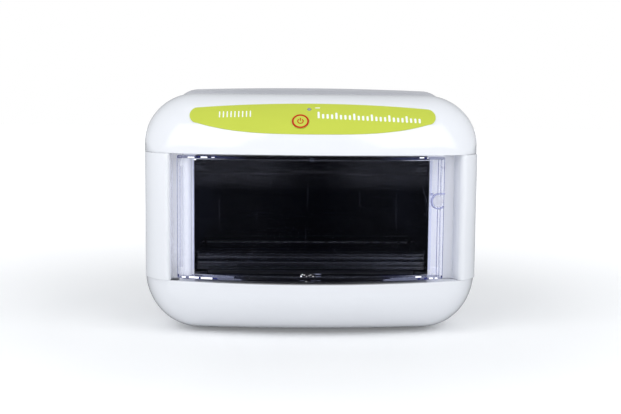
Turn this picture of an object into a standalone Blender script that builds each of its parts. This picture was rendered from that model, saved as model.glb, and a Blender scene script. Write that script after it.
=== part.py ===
"""Countertop ultraviolet sterilizer cabinet: moulded front with a bowed clear door,
rear housing, sheet-steel chamber, germicidal lamp, tray, switch gear and feet.

Metres, Z up. The front faces -Y; the origin is at the centre of the footprint on the floor.
"""
import math

import bmesh
import bpy
from mathutils import Matrix, Vector

MM = 0.001
GAP = 0.3

# Front moulding (millimetres)
HALF_WIDTH = 185.0
TOP_Z = 262.0
BOTTOM_Z = 3.0
FRONT_Y = -125.0
SAGITTA = 28.0
SAGITTA_HALF = 157.0
SHELL_BACK_Y = -5.0
BACKPLATE = 2.5
WALL = 3.0
ROUND_SIDE = 30.0
ROUND_TOP = 62.0
ROUND_BOTTOM = 45.0
DEPTH_SIDE = 40.0
DEPTH_TOP = 80.0
DEPTH_BOTTOM = 50.0
CORNER_TOP = 54.0
CORNER_BOTTOM = 61.0
CORNER_FRONT = 12.0
# Towards the underside the bow fades to a straighter line, so that the base looks level
BOTTOM_FLAT = 0.65
BOTTOM_LINE_Y = -113.0
RING_STEPS = 8
CORNER_STEPS = 8
SPAN_STEPS = 12

# Opening and recess
OPEN_LEFT = 154.8
OPEN_RIGHT = 162.0
LIP_TOP = 198.0
LIP_BOTTOM = 60.5
SEAM = 0.3
FRAME_FRONT_Y = -80.0
FRAME_BACK_Y = -77.0
WINDOW_HALF = 128.3
WINDOW_BOTTOM = 62.8
WINDOW_TOP = 195.6
WINDOW_CORNER = 2.0

# Door
DOOR_LEFT = -145.4
DOOR_RIGHT = 142.4
DOOR_BOTTOM = 63.0
DOOR_TOP = 195.5
DOOR_SKIN = 3.0
DOOR_INSET = 4.0
DOOR_CHORD_Y = -84.0
HINGE_X = -140.9
HINGE_Y = -92.0
BARREL_R = 5.0
PIN_R = 2.0
PULL_X = 135.1
PULL_Z = 148.3
PULL_R = 8.7
PULL_PROUD = 3.0

# Magnet in the frame behind the strike plate
MAGNET_X = 132.2
MAGNET_Z = 65.3
MAGNET_WIDTH = 6.1
MAGNET_HEIGHT = 7.5

# Door switch, pressed by the flange at the door's free edge
SWITCH_X = 140.9
SWITCH_Z = 183.0
PLUNGER_R = 1.3

# Chamber
SIDE_X = 153.0
SHEET = 0.8
CHAMBER_FRONT_Y = -76.7
CHAMBER_BACK_Y = 70.0
FLOOR_Z = 63.0
CEILING_Z = 193.0

# Rear housing
HOUSING_HALF = 158.0
HOUSING_TOP = 269.0
HOUSING_BACK_Y = 123.3
HOUSING_WALL = 2.5
HOUSING_R_TOP = 28.0
HOUSING_R_BOTTOM = 40.0
HOUSING_ROUND = 15.0
HOUSING_ROUND_STEPS = 4

# Openings through the backplate and the housing's front wall: chamber, then wiring bay
PASSAGE_HALF = 155.0
PASSAGE_LOW = 61.5
PASSAGE_HIGH = 196.5
BAY_HALF = 60.0
BAY_LOW = 212.0
BAY_HIGH = 244.0

# Back opening of the housing and the vented panel screwed behind it
BACK_HALF = 120.0
BACK_LOW = 95.0
BACK_HIGH = 215.0
PANEL_LAP = 8.0
PANEL_THICK = 2.0
VENT_ROWS = 3
VENT_COLUMNS = 14
VENT_PITCH_X = 13.0
VENT_PITCH_Z = 20.0
VENT_LOW = 150.0
VENT_LENGTH = 9.0
VENT_HEIGHT = 3.0
BACK_SCREW_INSET = 4.0
SCREW_R = 1.5
SCREW_HOLE_R = 1.9

# Mains inlet in the vented panel
INLET_HALF = 16.0
INLET_LOW = 105.0
INLET_HIGH = 129.0
INLET_FRONT_Y = 100.0
INLET_BACK_Y = 121.9
INLET_WALL = 3.5
INLET_WELL_Y = 108.0
BLADE_X = 7.0
BLADE_Z = 117.0
BLADE_RAISE = 2.0
BLADE_R = 1.6
BLADE_END_Y = 119.5

# Lamp
LAMP_Y = -40.0
LAMP_Z = 180.0
LAMP_R = 7.75
LAMP_HALF = 144.0
CAP_LENGTH = 10.0

# Label, button and indicator
LABEL_HALF = 133.5
LABEL_MID = 125.0
LABEL_TOP = 251.0
LABEL_TOP_END = 246.0
LABEL_LOW = 219.5
LABEL_LOW_END = 230.3
LABEL_LIFT = 0.3
LABEL_THICK = 0.7
LABEL_CUT_NEAR = -140.0
LABEL_CUT_DEPTH = 110.0
BUTTON_X = -14.2
BUTTON_Z = 232.6
BUTTON_R = 9.0
BUTTON_PROUD = 1.2
BUTTON_LENGTH = 8.0
LED_X = -4.6
LED_Z = 245.0
LED_R = 2.2

# Switch and board behind the button, in the board's own axes
STEM_R = 1.7
STEM_LENGTH = 3.5
STEM_GAP = 1.3
SWITCH_HALF = (3.0, 3.0, 1.9)
BOARD_HALF = (40.0, 13.0, 0.8)
BOARD_DROP = 5.9
BOARD_SHIFT = 8.0

# Tray
TRAY_HALF = 126.5
TRAY_FRONT_Y = -73.5
TRAY_BACK_Y = 64.0
TRAY_BOTTOM = 67.3
TRAY_TOP = 89.5
TRAY_WALL = 1.2
TRAY_RIM = 3.0

# Feet
FOOT_X = 112.0
FOOT_FRONT_Y = -28.0
FOOT_BACK_Y = 95.0
FOOT_R = 9.0
FOOT_SINK_R = 4.2
FOOT_HEAD_R = 3.4

# Ballast, terminal block and base plate, as opposite corners
BALLAST = ((-70.0, 20.0, 206.0), (30.0, 60.0, 236.0))
TERMINALS = ((60.0, 84.0, 207.0), (92.0, 98.0, 219.0))
BASE = ((-120.0, 1.5, 6.0), (120.0, 108.0, 7.5))

# Cutters reach this far past what they cut
FAR = 400.0

COLLECTION = "uv_sterilizer_cabinet"


def clear_scene():
    for obj in list(bpy.data.objects):
        bpy.data.objects.remove(obj, do_unlink=True)


def collection(name):
    made = bpy.data.collections.new(name)
    bpy.context.scene.collection.children.link(made)
    return made


def material(name, colour, rough, metal=0.0, glass=0.0, ior=1.5, glow=0.0):
    made = bpy.data.materials.new(name)
    made.use_nodes = True
    shader = made.node_tree.nodes["Principled BSDF"]
    shader.inputs["Base Color"].default_value = (*colour, 1.0)
    shader.inputs["Roughness"].default_value = rough
    shader.inputs["Metallic"].default_value = metal
    shader.inputs["Transmission Weight"].default_value = glass
    shader.inputs["IOR"].default_value = ior
    shader.inputs["Emission Strength"].default_value = glow
    made.diffuse_color = (*colour, 1.0)
    return made


def add(name, mesh, mat, parent=None):
    obj = bpy.data.objects.new(name, mesh)
    PARTS.objects.link(obj)
    if mat is not None:
        mesh.materials.append(mat)
    if parent is not None:
        obj.parent = parent
        obj.location = -parent.location
    return obj


def hide_cutter(obj):
    PARTS.objects.unlink(obj)
    CUTTERS.objects.link(obj)
    obj.hide_render = True
    obj.display_type = "WIRE"
    return obj


def to_mesh(name, bm):
    bmesh.ops.remove_doubles(bm, verts=bm.verts, dist=1e-6)
    bmesh.ops.recalc_face_normals(bm, faces=bm.faces)
    mesh = bpy.data.meshes.new(name)
    bm.to_mesh(mesh)
    bm.free()
    mesh.shade_smooth()
    mesh.set_sharp_from_angle(angle=math.radians(35.0))
    return mesh


def block_mesh(name, lo, hi):
    bm = bmesh.new()
    size = [(b - a) * MM for a, b in zip(lo, hi)]
    middle = [(b + a) * 0.5 * MM for a, b in zip(lo, hi)]
    matrix = Matrix.Translation(middle) @ Matrix.Diagonal((*size, 1.0))
    bmesh.ops.create_cube(bm, size=1.0, matrix=matrix)
    return to_mesh(name, bm)


def block(name, lo, hi, mat, bevel=0.0, parent=None):
    obj = add(name, block_mesh(name, lo, hi), mat, parent)
    if bevel:
        round_edges(obj, bevel)
    return obj


def round_edges(obj, width, segments=2):
    mod = obj.modifiers.new("Edges", "BEVEL")
    mod.width = width * MM
    mod.segments = segments
    mod.limit_method = "ANGLE"
    mod.angle_limit = math.radians(40.0)


def cutter_block(name, lo, hi):
    return hide_cutter(add(name, block_mesh(name, lo, hi), None))


def rod_mesh(name, start, end, radius, sides=32, end_radius=None):
    a = Vector(start) * MM
    b = Vector(end) * MM
    axis = b - a
    turn = Vector((0, 0, 1)).rotation_difference(axis.normalized()).to_matrix().to_4x4()
    bm = bmesh.new()
    far = radius if end_radius is None else end_radius
    matrix = Matrix.Translation((a + b) * 0.5) @ turn
    bmesh.ops.create_cone(bm, cap_ends=True, segments=sides, radius1=radius * MM,
                          radius2=far * MM, depth=axis.length, matrix=matrix)
    return to_mesh(name, bm)


def rod(name, start, end, radius, mat, sides=32, parent=None, end_radius=None):
    return add(name, rod_mesh(name, start, end, radius, sides, end_radius), mat, parent)


def cutter_rod(name, start, end, radius, sides=32):
    return hide_cutter(add(name, rod_mesh(name, start, end, radius, sides), None))


def boolean(obj, other, how="DIFFERENCE"):
    mod = obj.modifiers.new(how.title() + str(len(obj.modifiers)), "BOOLEAN")
    mod.operation = how
    mod.solver = "EXACT"
    mod.object = other


def pivot(name, place, parent=None):
    empty = bpy.data.objects.new(name, None)
    PARTS.objects.link(empty)
    empty.location = Vector(place) * MM
    if parent is not None:
        empty.parent = parent
    return empty


def front_y(x):
    return FRONT_Y + SAGITTA * (x / SAGITTA_HALF) ** 2


def outline(half, low, high, r_low, r_high):
    """Rounded rectangle as (x, z, upward part of the outward normal), clockwise from top left."""
    points = []
    span = half - r_high
    for i in range(SPAN_STEPS + 1):
        points.append((-span + 2 * span * i / SPAN_STEPS, high, 1.0))
    for i in range(1, CORNER_STEPS + 1):
        a = math.pi / 2 * (1 - i / CORNER_STEPS)
        points.append((span + r_high * math.cos(a), high - r_high + r_high * math.sin(a), math.sin(a)))
    span = half - r_low
    for i in range(CORNER_STEPS + 1):
        a = -math.pi / 2 * i / CORNER_STEPS
        points.append((span + r_low * math.cos(a), low + r_low + r_low * math.sin(a), math.sin(a)))
    for i in range(1, SPAN_STEPS + 1):
        points.append((span - 2 * span * i / SPAN_STEPS, low, -1.0))
    for i in range(1, CORNER_STEPS + 1):
        a = -math.pi / 2 * (1 - i / CORNER_STEPS)
        points.append((-span - r_low * math.cos(a), low + r_low + r_low * math.sin(a), math.sin(a)))
    span = half - r_high
    for i in range(CORNER_STEPS):
        a = math.pi / 2 * i / CORNER_STEPS
        points.append((-span - r_high * math.cos(a), high - r_high + r_high * math.sin(a), math.sin(a)))
    return points


def loft(name, rings):
    bm = bmesh.new()
    rows = [[bm.verts.new(Vector(p) * MM) for p in ring] for ring in rings]
    count = len(rows[0])
    for near, far in zip(rows, rows[1:]):
        for i in range(count):
            j = (i + 1) % count
            bm.faces.new((near[i], near[j], far[j], far[i]))
    bm.faces.new(rows[0])
    close_bowed(bm, rows[-1])
    return to_mesh(name, bm)


def close_bowed(bm, row):
    """Close the front ring with upright strips, so that the cap follows the bow exactly."""
    top = row[-CORNER_STEPS:] + row[:SPAN_STEPS + 1 + CORNER_STEPS]
    start = SPAN_STEPS + 1 + CORNER_STEPS
    low = row[start:start + SPAN_STEPS + 1 + 2 * CORNER_STEPS]
    low.reverse()
    for i in range(len(top) - 1):
        bm.faces.new((top[i], low[i], low[i + 1], top[i + 1]))


def pillow(name, inset, back_y=SHELL_BACK_Y):
    """The bowed, rounded front body, drawn inwards by inset."""
    rings = []
    base = outline(HALF_WIDTH - inset, BOTTOM_Z + inset, TOP_Z - inset,
                   CORNER_BOTTOM - inset, CORNER_TOP - inset)
    rings.append([(x, back_y, z) for x, z, _up in base])
    for k in range(RING_STEPS + 1):
        a = math.pi / 2 * k / RING_STEPS
        draw = 1 - math.cos(a)
        ring = outline(HALF_WIDTH - inset - (ROUND_SIDE - inset) * draw,
                       BOTTOM_Z + inset + (ROUND_BOTTOM - inset) * draw,
                       TOP_Z - inset - (ROUND_TOP - inset) * draw,
                       CORNER_BOTTOM - inset + (CORNER_FRONT - CORNER_BOTTOM + inset) * draw,
                       CORNER_TOP - inset + (CORNER_FRONT - CORNER_TOP + inset) * draw)
        row = []
        for x, z, up in ring:
            far = DEPTH_TOP if up > 0 else DEPTH_BOTTOM
            depth = DEPTH_SIDE + (far - DEPTH_SIDE) * up * up - inset
            flat = BOTTOM_FLAT * (1 - math.sin(a)) * up * up if up < 0 else 0.0
            bow = front_y(x) + flat * (BOTTOM_LINE_Y - front_y(x))
            row.append((x, bow + inset + depth * (1 - math.sin(a)), z))
        rings.append(row)
    return loft(name, rings)


def top_surface(x, z, lift=0.0):
    """Point and outward normal on the rolled top of the front body."""
    a = math.acos(1 - (TOP_Z - z) / ROUND_TOP)
    place = Vector((x, front_y(x) + DEPTH_TOP * (1 - math.sin(a)), z))
    slope_x = 2 * SAGITTA * x / SAGITTA_HALF ** 2
    slope_z = DEPTH_TOP * math.cos(a) / (ROUND_TOP * math.sin(a))
    normal = Vector((slope_x, -1.0, slope_z)).normalized()
    return place + normal * lift, normal


def shell_piece(name, lo, hi, cavity_lo, cavity_hi, mat):
    obj = add(name, pillow(name, 0.0), mat)
    boolean(obj, cutter_block(name + "_keep", lo, hi), "INTERSECT")
    cavity = hide_cutter(add(name + "_cavity", pillow(name + "_cavity", WALL, 20.0), None))
    boolean(cavity, cutter_block(name + "_cavity_keep", cavity_lo, cavity_hi), "INTERSECT")
    boolean(obj, cavity)
    return obj


def build_front(mats):
    far = FAR
    lip = LIP_TOP + WALL
    upper = shell_piece("upper_front_shell", (-far, -far, LIP_TOP), (far, far, far),
                        (-far, -far, lip), (far, far, far), mats["shell"])
    sill = LIP_BOTTOM - WALL
    lower = shell_piece("lower_front_shell", (-far, -far, -far), (far, far, LIP_BOTTOM),
                        (-far, -far, -far), (far, far, sill), mats["shell"])
    for side, edge, name in ((-1, OPEN_LEFT, "left_pillar"), (1, OPEN_RIGHT, "right_pillar")):
        ends = sorted((side * edge, side * far))
        hollow = sorted((side * (edge + WALL), side * far))
        shell_piece(name, (ends[0], -far, LIP_BOTTOM + SEAM), (ends[1], far, LIP_TOP - SEAM),
                    (hollow[0], -far, -far), (hollow[1], far, far), mats["shell"])
    hinge_low = cutter_rod("hinge_hole_low", (HINGE_X, HINGE_Y, LIP_BOTTOM - WALL - 1),
                           (HINGE_X, HINGE_Y, LIP_BOTTOM + 1), PIN_R + GAP)
    hinge_top = cutter_rod("hinge_hole_top", (HINGE_X, HINGE_Y, LIP_TOP - 1),
                           (HINGE_X, HINGE_Y, LIP_TOP + WALL + 1), PIN_R + GAP)
    boolean(lower, hinge_low)
    boolean(upper, hinge_top)
    place, normal = top_surface(BUTTON_X, BUTTON_Z)
    button_hole = cutter_rod("button_hole", place - normal * 12, place + normal * 6, BUTTON_R + 0.4, 40)
    boolean(upper, button_hole)
    spot, axis = top_surface(LED_X, LED_Z)
    led_hole = cutter_rod("led_hole", spot - axis * 12, spot + axis * 6, LED_R + GAP)
    boolean(upper, led_hole)
    return button_hole, led_hole


def lens_prism(name):
    top = []
    low = []
    steps = 12
    for i in range(-steps, steps + 1):
        x = LABEL_MID * i / steps
        part = (i / steps) ** 2
        top.append((x, LABEL_TOP + (LABEL_TOP_END - LABEL_TOP) * part))
        low.append((x, LABEL_LOW + (LABEL_LOW_END - LABEL_LOW) * part))
    middle = (LABEL_TOP_END + LABEL_LOW_END) / 2
    rise = (LABEL_TOP_END - LABEL_LOW_END) / 2
    reach = LABEL_HALF - LABEL_MID
    right = []
    for i in range(1, 8):
        a = math.pi / 2 - math.pi * i / 8
        right.append((LABEL_MID + reach * math.cos(a), middle + rise * math.sin(a)))
    left = [(-x, z) for x, z in reversed(right)]
    path = top + right + low[::-1] + left
    bm = bmesh.new()
    near = [bm.verts.new(Vector((x, LABEL_CUT_NEAR, z)) * MM) for x, z in path]
    face = bm.faces.new(near)
    pushed = bmesh.ops.extrude_face_region(bm, geom=[face])
    moved = [v for v in pushed["geom"] if isinstance(v, bmesh.types.BMVert)]
    bmesh.ops.translate(bm, verts=moved, vec=(0, LABEL_CUT_DEPTH * MM, 0))
    return to_mesh(name, bm)


def build_label(mats, button_hole, led_hole):
    label = add("control_label", pillow("control_label", -LABEL_LIFT - LABEL_THICK), mats["label"])
    boolean(label, hide_cutter(add("label_outline", lens_prism("label_outline"), None)), "INTERSECT")
    under = hide_cutter(add("label_under", pillow("label_under", -LABEL_LIFT, 20.0), None))
    boolean(label, under)
    boolean(label, button_hole)
    boolean(label, led_hole)
    place, normal = top_surface(BUTTON_X, BUTTON_Z)
    press = pivot("power_button_axis", place)
    rim = place + normal * (LABEL_LIFT + LABEL_THICK + BUTTON_PROUD)
    button = rod("power_button", rim - normal * BUTTON_LENGTH, rim, BUTTON_R, mats["button"], 48, press)
    round_edges(button, 0.6)
    spot, axis = top_surface(LED_X, LED_Z)
    led = rod("status_led", spot - axis * 5, spot + axis * 1.6, LED_R, mats["led"], 24)
    round_edges(led, 0.8)
    back = rim - normal * (BUTTON_LENGTH + STEM_GAP)
    stem_end = back - normal * STEM_LENGTH
    rod("button_switch_stem", stem_end, back, STEM_R, mats["black"], 20)
    turn = Vector((0, 0, 1)).rotation_difference(normal)
    across = Vector((BOARD_SHIFT, 0, 0))
    for name, half, middle, mat, bevel in (
            ("button_switch_body", SWITCH_HALF, stem_end - normal * (SWITCH_HALF[2] + GAP), "black", 0.3),
            ("control_board", BOARD_HALF, stem_end - normal * BOARD_DROP + across, "board", 0.0)):
        obj = block(name, [-size for size in half], half, mats[mat], bevel)
        obj.rotation_mode = "QUATERNION"
        obj.rotation_quaternion = turn
        obj.location = middle * MM


def door_arc(x, inset=0.0):
    return front_y(x) + DOOR_INSET + inset


def door_plan(name, inset, z0, z1, back_y=DOOR_CHORD_Y):
    """Upright solid whose plan is the door's bowed front closed by a straight back."""
    bm = bmesh.new()
    left, right = DOOR_LEFT + inset, DOOR_RIGHT - inset
    steps = 28
    path = []
    for i in range(steps + 1):
        x = left + (right - left) * i / steps
        path.append((x, door_arc(x, inset)))
    path += [(right, back_y), (left, back_y)]
    face = bm.faces.new([bm.verts.new((x * MM, y * MM, z0 * MM)) for x, y in path])
    pushed = bmesh.ops.extrude_face_region(bm, geom=[face])
    moved = [v for v in pushed["geom"] if isinstance(v, bmesh.types.BMVert)]
    bmesh.ops.translate(bm, verts=moved, vec=(0, 0, (z1 - z0) * MM))
    return to_mesh(name, bm)


def build_door(mats):
    axis = pivot("door_axis", (HINGE_X, HINGE_Y, 0.0))
    door = add("door_panel", door_plan("door_panel", 0.0, DOOR_BOTTOM, DOOR_TOP), mats["clear"], axis)
    hollow = door_plan("door_hollow", DOOR_SKIN, DOOR_BOTTOM + DOOR_SKIN, DOOR_TOP - DOOR_SKIN, -60.0)
    inside = hide_cutter(add("door_hollow", hollow, None, axis))
    barrel = rod_mesh("door_barrel", (HINGE_X, HINGE_Y, DOOR_BOTTOM + 1), (HINGE_X, HINGE_Y, DOOR_TOP - 1),
                      BARREL_R, 24)
    boolean(inside, hide_cutter(add("door_barrel", barrel, None, axis)))
    boolean(door, inside)
    for name, z0, z1 in (("hinge_bore_low", DOOR_BOTTOM - 1, DOOR_BOTTOM + 12),
                         ("hinge_bore_top", DOOR_TOP - 12, DOOR_TOP + 1)):
        bore = rod_mesh(name, (HINGE_X, HINGE_Y, z0), (HINGE_X, HINGE_Y, z1), PIN_R + 0.15, 24)
        boolean(door, hide_cutter(add(name, bore, None, axis)))
    rod("hinge_pin_bottom", (HINGE_X, HINGE_Y, LIP_BOTTOM - WALL), (HINGE_X, HINGE_Y, DOOR_BOTTOM + 11.5),
        PIN_R, mats["steel"], 24, axis)
    rod("hinge_pin_top", (HINGE_X, HINGE_Y, DOOR_TOP - 11.5), (HINGE_X, HINGE_Y, LIP_TOP + WALL),
        PIN_R, mats["steel"], 24, axis)
    slope = 2 * SAGITTA * PULL_X / SAGITTA_HALF ** 2
    normal = Vector((slope, -1.0, 0.0)).normalized()
    seat = Vector((PULL_X, door_arc(PULL_X), PULL_Z)) + normal * GAP
    pull = rod("door_pull", seat, seat + normal * PULL_PROUD, PULL_R, mats["clear"], 40, axis)
    dish = rod_mesh("pull_dish", seat + normal * 1.2, seat + normal * 6, PULL_R - 2.6, 40)
    boolean(pull, hide_cutter(add("pull_dish", dish, None, axis)))
    trim = block_mesh("pull_trim", (DOOR_RIGHT, -140, PULL_Z - 20), (DOOR_RIGHT + 20, -80, PULL_Z + 20))
    boolean(pull, hide_cutter(add("pull_trim", trim, None, axis)))
    block("door_strike_plate", (DOOR_RIGHT - 10.5, DOOR_CHORD_Y - 8.3, DOOR_BOTTOM + DOOR_SKIN + GAP),
          (DOOR_RIGHT - 3.5, DOOR_CHORD_Y - 0.4, DOOR_BOTTOM + DOOR_SKIN + 1.3), mats["steel"], 0.0, axis)


def build_recess(mats):
    frame = block("inner_front_frame", (GAP - OPEN_LEFT, FRAME_FRONT_Y, LIP_BOTTOM + GAP),
                  (OPEN_RIGHT - GAP, FRAME_BACK_Y, LIP_TOP - GAP), mats["shell"])
    window = cutter_block("frame_window", (-WINDOW_HALF, FRAME_FRONT_Y - 5, WINDOW_BOTTOM),
                          (WINDOW_HALF, FRAME_BACK_Y + 5, WINDOW_TOP))
    round_edges(window, WINDOW_CORNER, 4)
    boolean(frame, window)
    magnet_hole = cutter_block("magnet_pocket", (MAGNET_X - GAP, FRAME_FRONT_Y - 1, MAGNET_Z - GAP),
                               (MAGNET_X + MAGNET_WIDTH + GAP, FRAME_FRONT_Y + 2.2,
                                MAGNET_Z + MAGNET_HEIGHT + GAP))
    boolean(frame, magnet_hole)
    block("door_magnet", (MAGNET_X, FRAME_FRONT_Y - 0.6, MAGNET_Z),
          (MAGNET_X + MAGNET_WIDTH, FRAME_FRONT_Y + 1.9, MAGNET_Z + MAGNET_HEIGHT), mats["black"])
    start = FRAME_FRONT_Y
    hole = cutter_rod("plunger_hole", (SWITCH_X, start - 2, SWITCH_Z), (SWITCH_X, FRAME_BACK_Y + 2, SWITCH_Z),
                      PLUNGER_R + GAP)
    boolean(frame, hole)
    press = pivot("door_switch_axis", (SWITCH_X, start, SWITCH_Z))
    plunger = rod("door_switch_plunger", (SWITCH_X, start - 3.5, SWITCH_Z),
                  (SWITCH_X, FRAME_BACK_Y + 3.0, SWITCH_Z), PLUNGER_R, mats["black"], 24, press)
    round_edges(plunger, 0.4)
    body = block("door_switch_body", (SWITCH_X - 6, FRAME_BACK_Y + GAP, SWITCH_Z - 9),
                 (SWITCH_X + 6, FRAME_BACK_Y + 13, SWITCH_Z + 7), mats["black"], 0.6)
    well = cutter_rod("switch_well", (SWITCH_X, FRAME_BACK_Y - 1, SWITCH_Z),
                      (SWITCH_X, FRAME_BACK_Y + 7, SWITCH_Z), PLUNGER_R + GAP)
    boolean(body, well)


def build_backplate(mats):
    ring = outline(HALF_WIDTH, BOTTOM_Z, TOP_Z, CORNER_BOTTOM, CORNER_TOP)
    back = SHELL_BACK_Y + GAP + BACKPLATE
    rows = [[(x, y, z) for x, z, _up in ring] for y in (back, back - BACKPLATE)]
    plate = add("bezel_backplate", loft("bezel_backplate", rows), mats["shell"])
    cut_passages(plate)


def cut_passages(obj):
    """Open the wall behind the front body for the chamber and for the wires above it."""
    boolean(obj, cutter_block(obj.name + "_chamber", (-PASSAGE_HALF, -20, PASSAGE_LOW),
                              (PASSAGE_HALF, 20, PASSAGE_HIGH)))
    boolean(obj, cutter_block(obj.name + "_wiring", (-BAY_HALF, -20, BAY_LOW), (BAY_HALF, 20, BAY_HIGH)))


def build_housing(mats):
    def rings(inset, front, back):
        made = []
        base = outline(HOUSING_HALF - inset, BOTTOM_Z + inset, HOUSING_TOP - inset,
                       HOUSING_R_BOTTOM - inset, HOUSING_R_TOP - inset)
        made.append([(x, front, z) for x, z, _up in base])
        for k in range(HOUSING_ROUND_STEPS + 1):
            a = math.pi / 2 * k / HOUSING_ROUND_STEPS
            draw = (HOUSING_ROUND - inset) * (1 - math.cos(a))
            ring = outline(HOUSING_HALF - inset - draw, BOTTOM_Z + inset + draw,
                           HOUSING_TOP - inset - draw, HOUSING_R_BOTTOM - inset - draw,
                           HOUSING_R_TOP - inset - draw)
            y = back - (HOUSING_ROUND - inset) * (1 - math.sin(a))
            made.append([(x, y, z) for x, z, _up in ring])
        return made

    front = SHELL_BACK_Y + BACKPLATE + 2 * GAP
    housing = add("rear_housing", loft("rear_housing", rings(0.0, front, HOUSING_BACK_Y)), mats["housing"])
    hollow = loft("housing_hollow", rings(HOUSING_WALL, front + HOUSING_WALL, HOUSING_BACK_Y - HOUSING_WALL))
    boolean(housing, hide_cutter(add("housing_hollow", hollow, None)))
    cut_passages(housing)
    boolean(housing, cutter_block("housing_back_hole", (-BACK_HALF, INLET_FRONT_Y, BACK_LOW),
                                  (BACK_HALF, FAR, BACK_HIGH)))
    wide, low, high = BACK_HALF + PANEL_LAP, BACK_LOW - PANEL_LAP, BACK_HIGH + PANEL_LAP
    seat = HOUSING_BACK_Y - HOUSING_WALL - GAP
    panel = block("rear_vent_panel", (-wide, seat - PANEL_THICK, low), (wide, seat, high), mats["housing"])
    for row in range(VENT_ROWS):
        for i in range(VENT_COLUMNS):
            x = VENT_PITCH_X * (i - (VENT_COLUMNS - 1) / 2)
            z = VENT_LOW + VENT_PITCH_Z * row
            slot = cutter_block(f"vent_{row}_{i}", (x - VENT_LENGTH / 2, 100, z - VENT_HEIGHT / 2),
                                (x + VENT_LENGTH / 2, 140, z + VENT_HEIGHT / 2))
            boolean(panel, slot)
    x, low, high = wide - BACK_SCREW_INSET, low + BACK_SCREW_INSET, high - BACK_SCREW_INSET
    for i, (side, z) in enumerate(((-1, low), (1, low), (-1, high), (1, high))):
        hole = cutter_rod(f"back_screw_hole_{i}", (side * x, 110, z), (side * x, 140, z), SCREW_HOLE_R, 20)
        boolean(housing, hole)
        boolean(panel, hole)
        screw(f"back_screw_{i + 1}", (side * x, HOUSING_BACK_Y - GAP - 3.4, z), (0, 1, 0), SCREW_R,
              mats["steel"])
    build_inlet(mats, panel)


def build_inlet(mats, panel):
    """Appliance inlet with three round blades, set in the vented panel."""
    boolean(panel, cutter_block("inlet_hole", (-INLET_HALF - GAP, 100, INLET_LOW - GAP),
                                (INLET_HALF + GAP, 140, INLET_HIGH + GAP)))
    inlet = block("mains_inlet", (-INLET_HALF, INLET_FRONT_Y, INLET_LOW),
                  (INLET_HALF, INLET_BACK_Y, INLET_HIGH), mats["black"], 1.5)
    inner = INLET_HALF - INLET_WALL
    boolean(inlet, cutter_block("inlet_well", (-inner, INLET_WELL_Y, INLET_LOW + INLET_WALL),
                                (inner, 130, INLET_HIGH - INLET_WALL)))
    for i, x in enumerate((-BLADE_X, 0.0, BLADE_X)):
        z = BLADE_Z + (BLADE_RAISE if x == 0.0 else 0.0)
        rod(f"inlet_blade_{i + 1}", (x, INLET_WELL_Y + GAP, z), (x, BLADE_END_Y, z), BLADE_R,
            mats["steel"], 16)


def screw(name, seat, way, radius, mat):
    """Pan-head screw: the seat is where the head would start if it were flush."""
    axis = Vector(way)
    start = Vector(seat) - axis * 5.0
    obj = rod(name, start, Vector(seat) + axis * 5.2, radius, mat, 20)
    head = rod_mesh(name + "_head", Vector(seat) + axis * 3.8, Vector(seat) + axis * 5.4, radius * 2.0, 24)
    boolean(obj, hide_cutter(add(name + "_head", head, None)), "UNION")
    return obj


def build_chamber(mats):
    steel = mats["steel"]
    edge = SIDE_X - GAP
    back = CHAMBER_BACK_Y
    front = CHAMBER_FRONT_Y
    block("chamber_floor", (-edge, front, FLOOR_Z - SHEET), (edge, back - GAP, FLOOR_Z), steel)
    block("chamber_ceiling", (-edge, front, CEILING_Z), (edge, back - GAP, CEILING_Z + SHEET), steel)
    for side, name in ((-1, "chamber_left_wall"), (1, "chamber_right_wall")):
        ends = sorted((side * SIDE_X, side * (SIDE_X + SHEET)))
        block(name, (ends[0], front, FLOOR_Z - SHEET), (ends[1], back - GAP, CEILING_Z + SHEET), steel)
    block("chamber_back_wall", (-SIDE_X - SHEET, back, FLOOR_Z - SHEET),
          (SIDE_X + SHEET, back + SHEET, CEILING_Z + SHEET), steel)
    for side, name in ((-1, "left"), (1, "right")):
        ends = sorted((side * (TRAY_HALF + 6.0), side * (TRAY_HALF - 12.0)))
        rail = block(f"tray_rail_{name}", (ends[0], front + 2, FLOOR_Z + GAP),
                     (ends[1], back - 1, TRAY_BOTTOM - 0.4), steel)
        round_edges(rail, 0.8)
    slide = pivot("tray_axis", (0, 0, TRAY_BOTTOM))
    tray = block("instrument_tray", (-TRAY_HALF, TRAY_FRONT_Y, TRAY_BOTTOM),
                 (TRAY_HALF, TRAY_BACK_Y, TRAY_TOP), steel, 3.0, slide)
    inner = TRAY_HALF - TRAY_RIM
    scoop = block("tray_scoop", (-inner, TRAY_FRONT_Y + TRAY_RIM, TRAY_BOTTOM + TRAY_WALL),
                  (inner, TRAY_BACK_Y - TRAY_RIM, TRAY_TOP + 20), None, 2.5, slide)
    boolean(tray, hide_cutter(scoop))


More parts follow.
